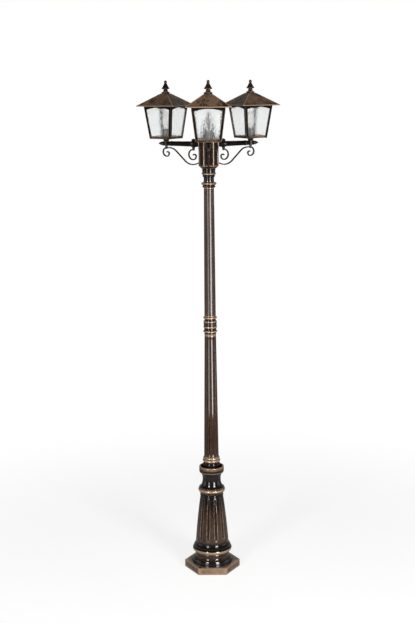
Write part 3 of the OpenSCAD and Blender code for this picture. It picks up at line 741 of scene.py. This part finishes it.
def pedestal_rub_and_shade(co):
    """Brushed most on the foot's faces, the bell's bead and the cup's side; the torus's lower half is painted
    gold as a painted reflection of the floor and its upper half dark as painted shade.
    """
    # Rows (88.5, 106) and (108, 131): the torus's lower half painted gold, a painted reflection of the floor;
    # its upper half and the step above painted dark, painted shade.
    amount = by_height([(-2, 33.5, 0.62), (33.5, 57, -0.3), (60, 87, 0.3), (88.5, 106, 0.75),
                        (108, 131, -0.5), (131, 143, -0.25), (362, 388, -0.45), (388, 398, 0.2),
                        (399, 414, 0.6), (414.5, 419, 0.3), (421, 486, -0.35), (486, 495, 0.1),
                        (496, 502, 0.45), (503.5, 509, -0.4), (511, 529, 0.45)])(co)
    on_top = (abs(co[:, 2] - 35) < 1.5) & (np.hypot(co[:, 0], co[:, 1]) > 99)
    # The foot's four slanted faces get less gold than its front and back faces: painted shade on the slanted
    # faces, a painted highlight on the front and back ones.
    at_side = (co[:, 2] < 34) & (abs(co[:, 1]) < 0.86 * foot_r - 3)
    amount += np.interp(co[:, 2], [142, 146, 220, 300, 358, 362], [0, 0.25, 0.2, 0.1, -0.1, 0])
    return np.where(on_top, 0.56, np.where(at_side, 0.46, amount))


def make_pedestal():
    mesh = drilled(make_mesh("pedestal", [pedestal_shell()], reach=6, depth=1.3, rub_and_shade=pedestal_rub_and_shade))
    show("pedestal", mesh, "post", ["base"], PEDESTAL)


# ---- collar, shafts and mouldings ----

def ringed(name, node, z0, z1, bore_r, shapes, rub_and_shade):
    """A group of rings with a bore."""
    shell = lathe(stack(z0, z1, *shapes) + [(bore_r, z1), (bore_r, z0)], sides=160, spacing=2.5)
    mesh = make_mesh(name, [shell], reach=3.5, depth=0.8, rub_and_shade=by_height(rub_and_shade))
    show(name, mesh, "post", [node], TURNED)


def make_collar():
    low = rim_z - 28
    shapes = [straight(42, low, rim_z + 10), bead(42.5, rim_z + 10, 12), straight(39, rim_z + 10, collar_top),
              bead(43.5, rim_z + 29, 13), bead(41, collar_top - 6, 9)]
    rub_and_shade = [(low, rim_z + 17, -0.3), (rim_z + 23, rim_z + 36, 0.85), (rim_z + 38, collar_top - 11, -0.5),
           (collar_top - 10, collar_top - 1, 0.85)]
    ringed("collar", "shaft_collar", low, collar_top, 30.1, shapes, rub_and_shade)


def make_shaft(name, node, r0, z0, r1, z1, bore_r, flute_w0, flute_w1, foot, drop):
    grooves = channels(r0 - 0.3, z0 + foot, r1 + 0.3, z1 - foot, 0.9 * flute_w0, 0.9 * flute_w1, 1.3)
    outline = [(r0 - 5, z0 - drop), (r0 - 5, z0), (r0, z0 + 0.1), (r1, z1), (bore_r, z1), (bore_r, z0 - drop)]
    outline = outline if drop else [(r0, z0), (r1, z1), (bore_r, z1), (bore_r, z0)]
    mesh = make_mesh(name, [lathe(outline, sides=288, spacing=4.5, carve=[grooves])], reach=3.5, depth=0.9)
    show(name, mesh, "post", [node], SHAFT)


def make_shafts():
    make_shaft("lower_column", "lower_shaft", 35.8, collar_top, 28, lower_top, 21, 4.4, 3.74, 16, 70)
    make_shaft("upper_column", "upper_shaft", 27.6, upper_foot, 24.2, upper_top, 17, 3.7, 3.3, 18, 0)


def make_mid_rings():
    z = lower_top
    shapes = [straight(27.5, z, upper_foot), bead(29, z + 5, 9), straight(28.5, z + 8, z + 16),
              bead(34.2, z + 20, 9),
              straight(29.5, z + 22, z + 39), bead(33.2, z + 41, 9), straight(31.4, z + 43, z + 66),
              bead(33, z + 68, 7), bead(33.4, z + 87, 9)]
    rub_and_shade = [(z, z + 9, 0.45), (z + 15, z + 24, 0.9), (z + 37, z + 45, 0.9), (z + 45, z + 64, 0.15),
           (z + 64, z + 72, 0.8), (z + 82, z + 92, 0.95)]
    ringed("mid_rings", "mid_coupling", z, upper_foot, 14, shapes, rub_and_shade)


def make_neck():
    z, top = upper_top, hub_low.z
    shapes = [straight(24, z, top), bead(31.3, z + 6, 10), straight(28, z + 6, z + 20), bead(36, z + 20, 12),
              bead(29.8, z + 56, 9), cove(31.5, 7, z + 40, 22), bead(34.5, z + 66, 9),
              straight(31.2, z + 66, top), bead(32.4, top - 5, 6)]
    rub_and_shade = [(z, top, -0.4), (z, z + 12, 0.5), (z + 16, z + 26, 0.8), (z + 61, z + 71, 0.7)]
    ringed("neck", "neck_capital", z, top, 12, shapes, rub_and_shade)


# ---- hub ----

def panels(radius, z, turn):
    """Shallow panels sunk in the hub's six faces, and a round rib up each corner."""
    off = from_nearest(turn, 6, math.pi / 6)
    across = radius * np.sin(off)
    half_w, low, high, sunk = 15.5, hub_low.z + 18, arm_z - 28, 1.5
    inside = (abs(across) < half_w) & (z > low) & (z < high) & (radius > hub_flat - 4)
    return np.where(inside, radius - sunk / np.cos(off), radius)


def hub_rub(co):
    """The corner ribs, the top edge and the edge of the foot are brushed bright."""
    around = np.hypot(co[:, 0], co[:, 1])
    height = co[:, 2]
    edge = (around > hub_corner - 1) | (height > hub_high.z - 2) | (abs(height - hub_low.z - 12) < 1.5)
    return np.where(edge & (around > hub_flat - 1), 0.46, -0.05)


def make_hub():
    z0, z1, bevel = hub_low.z, hub_high.z, 12
    foot = 35 * math.cos(math.radians(30))
    bore_r = hub_flat - 9
    outline = shaped([(6.7, z0)], 0.0) + shaped([(foot - 0.5, z0), (foot, z0 + 0.5), (hub_flat, z0 + bevel),
                                                 (hub_flat, z1 - 0.6), (hub_flat - 0.6, z1)], 1.0)
    outline += shaped([(bore_r, z1), (bore_r, z0 + 10), (6.7, z0 + 10)], 0.0)
    core = lathe(outline, sides=288, spacing=2.0, carve=[panels])
    foot_z = z0 + bevel
    rib = [(0, foot_z - 1.5), (1.8, foot_z - 0.6), (2.4, foot_z + 1), (2.4, z1 - 0.5), (0, z1 - 0.3)]
    ribs = []
    for i in range(6):
        at = Matrix.Rotation(i * math.pi / 3, 4, "Z") @ Matrix.Translation((hub_corner - 1.6, 0, 0))
        ribs.append(moved(lathe(rib, sides=20, spacing=5, closed=False), at))
    mesh = make_mesh("hub_casting", [core] + ribs, reach=3, depth=0.55, rub_and_shade=hub_rub)
    show("hub_casting", mesh, "post", ["hub"], HUB)


def make_lid():
    z, flange_r, dome_r, urn_r = hub_high.z, hub_flat + 1.7, hub_flat - 1, 27
    urn_z, spire_z, ball_z = z + 42, z + 99, corners("hub_lid")[1].z - 6
    outline = shaped([(0, z - 3), (hub_flat - 9.3, z - 3), (hub_flat - 9.3, z)], 0.0)
    flange = [(flange_r - 0.5, z), (flange_r, z + 0.6), (flange_r, z + 3.4), (flange_r - 0.6, z + 4)]
    outline += shaped(flange, 1.0)
    urn = [(urn_r - 2 - 4 * t + 4.8 * t * (1 - t), urn_z + 12 + 30 * t) for t in np.linspace(0.05, 1, 9)]
    outline += shaped(
        [(dome_r, z + 4.1), (dome_r, z + 11.5), (dome_r - 1, z + 12.5)]
        + arc(dome_r - 18, z + 13, 17, 26, 4, 75)
        + [(urn_r - 6, urn_z - 2), (urn_r - 6, urn_z + 1)]
        + arc(urn_r - 4, urn_z + 7, 4, 5, -80, 60) + urn
        + [(urn_r - 10, urn_z + 47), (urn_r - 15, spire_z - 6)]
        + [(5, spire_z - 1), (4.2, spire_z + 5), (3.2, ball_z - 5.2)]
        + arc(0, ball_z, 5, 6, -50, 90), 0.0)
    mesh = make_mesh("hub_cover", [lathe(outline, sides=192, spacing=2.5, closed=False)], reach=3, depth=0.7)
    show("hub_cover", mesh, "post", ["hub_lid"], FRAME)


# ---- arms, drawn along +X ----

ARM_R1, ARM_R2 = 13.5, 10.6
BAR_W, BAR_T = 9.0, 5.6
BOSS_TOP, BOSS_BOTTOM = arm_z + 11, arm_z - 17


def arm_radius(x):
    return ARM_R1 + (ARM_R2 - ARM_R1) * (x - hub_flat) / (lantern_r - hub_flat)


def along_arm(outline, **how):
    """A turned shape whose outline runs out along the arm."""
    return moved(lathe(outline, **how), Matrix.Translation((0, 0, arm_z)) @ TO_X)


def arm_shells():
    flange, end = 6, lantern_r + 14
    tube = [(5, hub_flat), (ARM_R1, hub_flat)]
    tube += [(ARM_R1 + 3.4, hub_flat + flange), (ARM_R1 + 3.2, hub_flat + flange + 2.4)]
    tube += hollow(ARM_R1 + 2.4, hub_flat + flange + 9, 3, 6, -75, 0, 6)
    tube += arc(arm_radius(hub_flat + 26) - 0.5, hub_flat + 26, 2.4, 2.4, -70, 70, 8)
    tube += [(arm_radius(hub_flat + 32), hub_flat + 32), (arm_radius(lantern_r - 34), lantern_r - 34)]
    tube += arc(arm_radius(lantern_r - 30) - 0.5, lantern_r - 30, 2.2, 2.2, -70, 70, 8)
    tube += [(arm_radius(lantern_r - 26), lantern_r - 26), (ARM_R2, lantern_r), (ARM_R2, end - 1)]
    tube += [(ARM_R2 - 1, end), (5, end)]
    shells = [along_arm(tube, sides=72, spacing=3)]
    shells.append(block((hub_flat, -19, arm_z - 21), (hub_flat + flange, 19, arm_z + 16), ease=1.2))
    boss = [(0, arm_z - 8), (11.5, arm_z - 8), (11.5, BOSS_TOP - 0.8), (10.7, BOSS_TOP), (0, BOSS_TOP)]
    stem = [(0, BOSS_BOTTOM), (5.8, BOSS_BOTTOM), (6.5, BOSS_BOTTOM + 0.8), (6.5, arm_z), (0, arm_z)]
    shells += [turned_on_arm(o, sides=60) for o in (boss, stem)]
    return shells


def band_shells():
    half, r = 7, arm_radius(band_x)
    near, far = band_x - half, band_x + half
    ring = [(r - 1, near), (r + 3.2, near), (r + 4, near + 1), (r + 4, near + 3)]
    ring += hollow(r + 4, band_x, 1.2, 3, -80, 80, 8)
    ring += [(r + 4, far - 3), (r + 4, far - 1), (r + 3.2, far), (r - 1, far)]
    top = arm_z + r
    shells = [along_arm(ring, sides=72, spacing=2)]
    shells.append(block((near, -7, top), (far, 7, top + 6), ease=0.8, spacing=2))
    cap = block((near - 1.5, -8.5, top + 6), (far + 1.5, 8.5, top + 13), ease=0.5, spacing=2, top=0.12)
    shells.append(cap)
    drop = corners("band_front")[0].z
    stub = [(0, drop), (6.2, drop), (7, drop + 0.8), (7, drop + 6), (6.2, drop + 7.5), (6.6, arm_z - 8)]
    stub.append((0, arm_z - 8))
    shells.append(turned_on_arm(stub, band_x, sides=48, spacing=2))
    return shells


def tip_shells():
    x = lantern_r + 14
    outline = [(0, x - 0.5)] + arc(ARM_R2 - 4, x + 4, 4, 4, -90, 90, 12)
    outline += [(4.6, x + 8.6), (4, x + 9.6), (4, tip_x - 21)]
    outline += arc(5.2, tip_x - 15.5, 3.3, 3.3, -100, 60, 8)
    outline += [(6.3, tip_x - 10.5), (3.2, tip_x - 4), (1.3, tip_x - 0.8), (0, tip_x)]
    return [along_arm(outline, sides=56, spacing=1.5, closed=False)]


def chain(steps):
    """Points of a run of straights [0, length] and bends [radius, sweep]; a bend to the left is positive."""
    spacing = 1.4
    at, heading, made = np.array([0.0, 0.0]), 0.0, [np.array([0.0, 0.0])]
    for r, amount in steps:
        length = amount if r == 0 else abs(r) * math.radians(amount)
        pieces = max(2, math.ceil(length / spacing))
        for _ in range(pieces):
            bend = 0.0 if r == 0 else math.copysign(math.radians(amount), r) / pieces
            heading += bend / 2
            at = at + length / pieces * np.array([math.cos(heading), math.sin(heading)])
            heading += bend / 2
            made.append(at)
    return np.array(made)


def bar_section():
    """The bars' rounded rectangle, in the plane's direction and across it."""
    ease = 1.7
    x, y = BAR_T / 2 - ease, BAR_W / 2 - ease
    points = []
    for cx, cy, a in ((x, y, 0), (-x, y, 90), (-x, -y, 180), (x, -y, 270)):
        points += arc(cx, cy, ease, ease, a, a + 90, 5)
    return points


def flat_bar(points, x0, z0, mirrored=False):
    """A bar that follows a chain standing in the arm's plane."""
    sign = -1 if mirrored else 1
    path = [(x0 + sign * x, 0, z0 + z) for x, z in points]
    path = [p for p in path if p[0] > hub_flat - 4]
    return sweep(path, (0, 1, 0), bar_section())


def ball(x, z, r, width):
    """A round eye that closes a scroll, lying across the arm's plane."""
    outline = [(0, -width / 2)] + arc(r - 1.6, -width / 2 + 1.6, 1.6, 1.6, -90, 0, 5)
    outline += arc(r - 1.6, width / 2 - 1.6, 1.6, 1.6, 0, 90, 5) + [(0, width / 2)]
    return moved(lathe(outline, sides=36, spacing=2, closed=False),
                 Matrix.Translation((x, 0, z)) @ Matrix.Rotation(math.radians(90), 4, "X"))


def knob(x, seat, drop):
    """The round end of a stem, under a bar's crown."""
    outline = [(0, seat - drop)] + arc(3, seat - drop + 2.5, 2.6, 2.6, -90, 0, 6) + [(5.6, seat), (0, seat)]
    return turned_on_arm(outline, x, sides=40, spacing=2)


def scroll_shells():
    crown = BOSS_BOTTOM - BAR_T / 2
    x0 = lantern_r - 8
    inward = chain([[0, 8], [-58, 43], [0, 66], [62, 63], [0, 34]])
    outward = chain([[0, 6], [-20.5, 180], [-13, 100], [-7.5, 100]])
    return [flat_bar(inward, x0, crown, mirrored=True), flat_bar(outward, x0, crown),
            knob(lantern_r, BOSS_BOTTOM, 9),
            ball(x0 + outward[-1][0], crown + outward[-1][1], 3.3, BAR_W)]


def curl_shells():
    seat = corners("band_front")[0].z
    path = chain([[0, 2], [-24, 180], [-16, 90], [-9, 130]])
    return [flat_bar(path, band_x, seat - BAR_T / 2), knob(band_x, seat, 8),
            ball(band_x + path[-1][0], seat - BAR_T / 2 + path[-1][1], 3.4, BAR_W)]


def make_arms():
    for name, shells, node in (
            ("arm_casting", arm_shells(), "arm_*"), ("arm_band", band_shells(), "band_*"),
            ("arm_tip", tip_shells(), "tip_*"), ("scroll_bracket", scroll_shells(), "scroll_*"),
            ("curl_bracket", curl_shells(), "curl_*")):
        mesh = make_mesh(name, shells, grain=grain_out, reach=2.5, depth=0.6)
        on_each_arm(name, mesh, "post", [node], IRON)


# ---- lanterns, drawn on the arm along +X ----

WALL, RAIL, STILE, ARCH = 3.5, 12, 12, 10
SLANT = (roof_z - body_z) / math.cos(side_tilt)


def side_frame(i):
    """From a side's own plane (across, up the slope, outwards) to the lantern's place on the arm."""
    stand = Matrix(((0, 0, 1, 0), (1, 0, 0, 0), (0, 1, 0, 0), (0, 0, 0, 1)))
    tilt = Matrix.Rotation(side_tilt, 4, "Y") @ stand
    return (AT_LANTERN @ Matrix.Rotation(i * math.pi / 2, 4, "Z")
            @ Matrix.Translation((body_w1 / 2, 0, body_z)) @ tilt)


def half_width(up):
    """Half the width of a side's outer face, so far up its slope."""
    return body_w1 / 2 + (body_w2 - body_w1) / 2 * up / SLANT


def window_path(grow):
    """The window's outline on a side, grown by a margin."""
    z0, z1 = RAIL - grow, SLANT - 6 - ARCH
    w0, w1 = half_width(z0) - STILE + grow, half_width(z1) - STILE + grow
    big = (w1 * w1 + ARCH * ARCH) / 2 / ARCH
    half = math.degrees(math.asin(w1 / big))
    return [(-w0, z0), (w0, z0)] + arc(0, z1 + ARCH + grow - big, big, big, 90 - half, 90 + half, 26)


def bead_loop(points, r, lift):
    """A round bead along a closed outline in a side's plane."""
    loop = []
    closed = points + points[:1]
    for a, b in zip(closed[:-1], closed[1:]):
        n = max(1, int(math.dist(a, b) / 4))
        loop += [(a[0] + (b[0] - a[0]) * k / n, a[1] + (b[1] - a[1]) * k / n) for k in range(n)]
    path = np.array(loop)
    ahead = np.roll(path, -1, axis=0) - np.roll(path, 1, axis=0)
    ahead /= np.linalg.norm(ahead, axis=1)[:, None]
    out = np.column_stack([ahead[:, 1], -ahead[:, 0]])
    ring = [math.radians(a) for a in range(0, 360, 36)]
    points3 = [(p[0] + o[0] * r * math.cos(t), p[1] + o[1] * r * math.cos(t), lift + r * math.sin(t))
               for p, o in zip(path, out) for t in ring]
    return np.array(points3), [(a, d, c, b) for a, b, c, d in tube_faces(len(path), len(ring), closed=True)]


def make_bodies():
    turn = -arm_angle["front"]
    shells = [refined("body_front", turn, 0.7, 4.0)]
    for i in range(4):
        shells.append(moved(bead_loop(window_path(1.3), 1.25, 0.1), side_frame(i)))
    # The bottom rail is rubbed brighter; the top rail just under the roof is painted darker, a painted shadow
    # of the roof.
    rub_and_shade = by_height([(body_z - 2, body_z + RAIL, 0.4), (roof_z - 16, roof_z + 2, -0.3)])
    mesh = make_mesh("lantern_frame", shells, reach=3.5, depth=0.5, rub_and_shade=rub_and_shade)
    on_each_arm("lantern_frame", mesh, "post", ["body_*"], FRAME)


def glass_shell(i, seed):
    """A pane of hammered glass: both faces dimpled."""
    base, top = 3.7, SLANT - 10.5
    inset = WALL + 0.1 + 3 + 1.2
    thick, wave, columns, rows = 3.0, 0.32, 46, 60
    points = []
    for face in (0, 1):
        for r in range(rows + 1):
            up = base + (top - base) * r / rows
            w = half_width(up) - inset
            for c in range(columns + 1):
                x = -w + 2 * w * c / columns
                at = Vector((x / 9, up / 9, seed + 5 * face))
                rim = min(1, 4 * min(r, rows - r, c, columns - c) / columns)
                dent = rim * wave * (noise.noise(at) + 0.5 * noise.noise(at * 2.1))
                depth = -WALL - 0.1 - (thick if face else 0)
                points.append((x, up, depth + (dent if face else -abs(dent))))
    m = columns + 1
    half = (rows + 1) * m
    faces = []
    for r in range(rows):
        for c in range(columns):
            a = r * m + c
            faces.append((a, a + 1, a + m + 1, a + m))
            faces.append((half + a, half + a + m, half + a + m + 1, half + a + 1))
    rim = list(range(m)) + [r * m + columns for r in range(1, rows + 1)]
    rim += [rows * m + c for c in range(columns - 1, -1, -1)] + [r * m for r in range(rows - 1, 0, -1)]
    for a, b in zip(rim, rim[1:] + rim[:1]):
        faces.append((a, half + a, half + b, b))
    return moved((np.array(points), faces), side_frame(i))


def make_glass():
    for k, arm in enumerate(ARMS):
        mesh = make_mesh("panes", [glass_shell(i, 20 * i + 100 * k) for i in range(4)], reach=3)
        mesh.transform(Matrix.Rotation(arm_angle[arm], 4, "Z"))
        show(f"glass_panes_{arm}", mesh, "post", [f"glass_{arm}"], GLASS)


def roof_shell():
    skin, soffit, drip, cap = 7.5, 3.5, 5, 5
    lip, opening = (body_w2 - 2 * WALL - 2.5) / 2, (body_w2 - 2 * WALL - 14.5) / 2
    half, top_z, plate_r = roof_w / 2, finial_z - 6, 19.3
    top_half, drip_z = plate_r - 4, roof_z + drip
    fall = (half - top_half) / (top_z - drip_z)
    inner_top = top_half - skin + fall * cap
    inside = [(inner_top, top_z - cap), (half - skin, roof_z + soffit), (opening, roof_z + soffit)]
    inside += [(opening, roof_z - 5), (lip, roof_z - 5), (lip, roof_z)]
    edge = [(half - 3.2, roof_z), (half - 2.6, roof_z), (half - 1.0, roof_z + 0.4), (half, roof_z + 1.6)]
    edge += [(half, drip_z - 1.4), (half - 0.6, drip_z - 0.3), (half - 2.4, drip_z + 0.2)]
    slope = [(half - 5, drip_z + 0.9), (plate_r - 1.2, top_z - (plate_r - 1.2 - top_half) / fall)]
    outline = [(4.05, top_z - cap, 0.0)] + shaped(inside + edge + slope, 1.0)
    plate = [(plate_r - 0.6, top_z - 0.7), (plate_r, top_z + 0.3), (plate_r, finial_z - 0.8)]
    outline += shaped(plate + [(plate_r - 0.8, finial_z), (4.05, finial_z)], 0.0)

    def hips(radius, z, turn):
        """A low rounded ridge down each hip."""
        off = from_nearest(turn, 4)
        from_hip = radius * (math.pi / 4 - abs(off))
        outer = radius * np.cos(off) > half - skin - (z - drip_z) * fall + 1
        on_slope = outer & (z > drip_z + 0.5) & (z < top_z - 1.5)
        return radius + np.where(on_slope, 1.5 * np.exp(-((from_hip / 2.4) ** 2)), 0)

    return lathe(outline, sides=256, spacing=3.5, polygon=(4, 0.0, 0.992), carve=[hips])


def make_roofs():
    edges = by_height([(roof_z - 6, roof_z + 0.2, -0.6), (roof_z + 0.2, roof_z + 5.6, 0.5),
                       (finial_z - 6, finial_z, -0.5)])

    def rub_and_shade(co):
        """The drip edge and the hips are rubbed brighter than the slopes."""
        off_hip = abs(abs(co[:, 0] - lantern_r) - abs(co[:, 1])) / math.sqrt(2)
        on_hip = (off_hip < 2.6) & (co[:, 2] > roof_z + 5) & (co[:, 2] < finial_z - 7)
        return edges(co) + np.where(on_hip, 0.35, 0)

    shell = moved(roof_shell(), AT_LANTERN)
    mesh = make_mesh("lantern_roof", [shell], grain=grain_roof, reach=4, depth=0.6, rub_and_shade=rub_and_shade)
    on_each_arm("lantern_roof", mesh, "roof_*_body", ["roof_*"], ROOF)


def make_finials():
    z, r, neck = finial_z, 18.6, 9
    rim, ball_z = z + 17, total_z - 8.5
    cone = [(r - 2 - (r - 9) * t**0.8, rim + 3 + (ball_z - rim - 10) * t)
            for t in np.linspace(0.12, 0.875, 9)]
    outline = [(0, z - 11), (4, z - 11), (4, z)] + arc(12.2, z + 1.25, 1.25, 1.25, -90, 90, 6)
    outline += [(neck, z + 3.5)] + arc(neck + 0.5, z + 6.5, 2.4, 2.4, -70, 70, 10)
    outline += [(neck - 0.5, z + 9.5), (neck, z + 12)] + arc(r - 3, rim, 3, 3.4, -80, 60, 12) + cone
    outline += [(6, ball_z - 6.8)] + arc(0, ball_z, 7.2, 8.5, -50, 90, 16)
    mesh = make_mesh("acorn", [turned_on_arm(outline, spacing=1.6)], reach=2, depth=0.5,
                     rub_and_shade=by_height([(z, total_z, 0.22)]))
    on_each_arm("acorn_finial", mesh, "finial_*_body", ["finial_*"], IRON)


def make_cups():
    outline = [(5, BOSS_TOP), (11.5, BOSS_TOP), (12.2, BOSS_TOP + 2), (15.5, body_z - 4), (17, body_z - 3.2)]
    outline += [(17.5, body_z - 2.4), (17.5, body_z), (5, body_z)]
    mesh = make_mesh("cup", [turned_on_arm(outline, spacing=1.5, closed=True)], reach=2, depth=0.5)
    on_each_arm("lantern_cup", mesh, "post", ["cup_*"], IRON)


def make_lamps():
    top, cap_z = bulb_z - 1, corners("bulb_cap_front")[0].z
    z = holder_z
    sleeve = [(3, z), (16.8, z), (17.5, z + 0.7), (17.5, z + 3.4), (16.9, z + 4), (13.5, z + 4.6)]
    sleeve += arc(12.5, z + 7, 2, 2, -60, 60, 8)
    sleeve += [(13.5, z + 9), (13.5, top - 1), (12.6, top), (6.95, top), (6.95, cap_z - 2), (3, cap_z - 2)]
    mesh = make_mesh("sleeve", [turned_on_arm(sleeve, closed=True)], reach=3)
    on_each_arm("lamp_holder", mesh, "post", ["holder_*"], SLEEVE)

    pitch, turns = 2.8, 5
    cap = [(0, cap_z), (3, cap_z), (6.0, cap_z + 3)]
    for t in np.linspace(0, turns, turns * 10 + 1):
        cap.append((6.5 + 0.38 * math.sin(2 * math.pi * t), cap_z + 3.5 + t * pitch))
    cap += [(6.85, bulb_z - 3), (6.85, bulb_z), (0, bulb_z)]
    mesh = make_mesh("cap", [turned_on_arm(cap, sides=48, spacing=2)], reach=1)
    on_each_arm("lamp_cap", mesh, "bulb_*_body", ["bulb_cap_*"], BRASS)

    neck, shoulder, r = 8, 34, 17
    belly, quarter = bulb_z + shoulder, math.pi / 2
    glass = [(0, bulb_z), (neck, bulb_z)]
    glass += [(neck + (r - neck) * math.sin(quarter * t), bulb_z + shoulder * t)
              for t in np.linspace(0.06, 1, 16)]
    glass += [(r * math.cos(quarter * t), belly + (bulb_top - belly) * (1 - (1 - t) ** 1.35))
              for t in np.linspace(0.06, 1, 18)]
    mesh = make_mesh("candle", [turned_on_arm(glass)], reach=3)
    on_each_arm("candle_lamp", mesh, "bulb_*_body", ["bulb_*"], OPAL)


def paint_hidden_steel():
    """The tie rod and fasteners keep their CAD shapes."""
    for node in ("tie_tube", "tie_nuts", "tie_washers", "arm_bolts"):
        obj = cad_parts[node]
        obj.data.materials.clear()
        obj.data.materials.append(STEEL)


make_pedestal()
make_collar()
make_shafts()
make_mid_rings()
make_neck()
make_hub()
make_lid()
make_arms()
make_bodies()
make_glass()
make_roofs()
make_finials()
make_cups()
make_lamps()
paint_hidden_steel()


# ---- studio ----

# The studio walls' brightness, from in front of the post (0) to behind it (1)
WALLS = ((0, 0.1), (0.2, 0.07), (0.55, 0.07), (0.75, 0.14), (0.93, 0.3), (1, 0.42))
SIDE_WALL = 1.1


def make_floor():
    a = 3
    mesh = bpy.data.meshes.new("floor")
    mesh.from_pydata([(-a, -a, 0), (a, -a, 0), (a, a, 0), (-a, a, 0)], [], [(0, 1, 2, 3)])
    mesh.materials.append(floor_paint())
    floor = bpy.data.objects.new("floor", mesh)
    bpy.context.scene.collection.objects.link(floor)


def softbox(name, at, aim, width, height, watts):
    data = bpy.data.lights.new(name, "AREA")
    data.shape, data.size, data.size_y, data.energy = "RECTANGLE", width, height, watts
    light = bpy.data.objects.new(name, data)
    bpy.context.scene.collection.objects.link(light)
    light.location = at
    light.rotation_euler = (Vector(aim) - Vector(at)).to_track_quat("-Z", "Y").to_euler()


def make_world():
    """A dim front, a paler back and a bright patch at each side; the camera sees white all round."""
    world = bpy.data.worlds.new("studio")
    n = Nodes(world)
    split = n.new("SeparateXYZ")
    n.put(split.inputs[0], n.new("TexCoord").outputs["Generated"])
    walls = n.new("ValToRGB")
    walls.color_ramp.interpolation = "EASE"
    ramp = walls.color_ramp.elements
    for element, (position, level) in zip(ramp, (WALLS[0], WALLS[-1])):
        element.position, element.color = position, (level, level, level, 1)
    for position, level in WALLS[1:-1]:
        ramp.new(position).color = (level, level, level, 1)
    n.put(walls.inputs["Fac"], n.rise(split.outputs["Y"], -1, 1, kind="LINEAR"))
    aside = n.math("ABSOLUTE", split.outputs["X"])
    side_walls = n.rise(aside, 0.9, 1, 0.07, SIDE_WALL, kind="LINEAR")
    lit = n.math("MAXIMUM", side_walls, walls.outputs["Color"])
    sky = n.tree.nodes["Background"]
    n.put(sky.inputs["Color"], (1, 1, 1, 1))
    n.put(sky.inputs["Strength"], n.math("MAXIMUM", n.either_ray("Camera", "Transmission"), lit))
    bpy.context.scene.world = world


def make_studio():
    make_floor()
    for side, x, strip, core in (("left", -2.0, 55, 75), ("right", 2.0, 160, 55)):
        softbox(f"strip_{side}", (x, -3.35, 1.35), (0, 0, 1.35), 1.1, 3.1, strip)
        softbox(f"core_{side}", (x, -3.3, 2.7), (0, 0, 0.8), 0.9, 0.5, core)
    make_world()
    bpy.context.scene.view_settings.view_transform = "Standard"


make_studio()
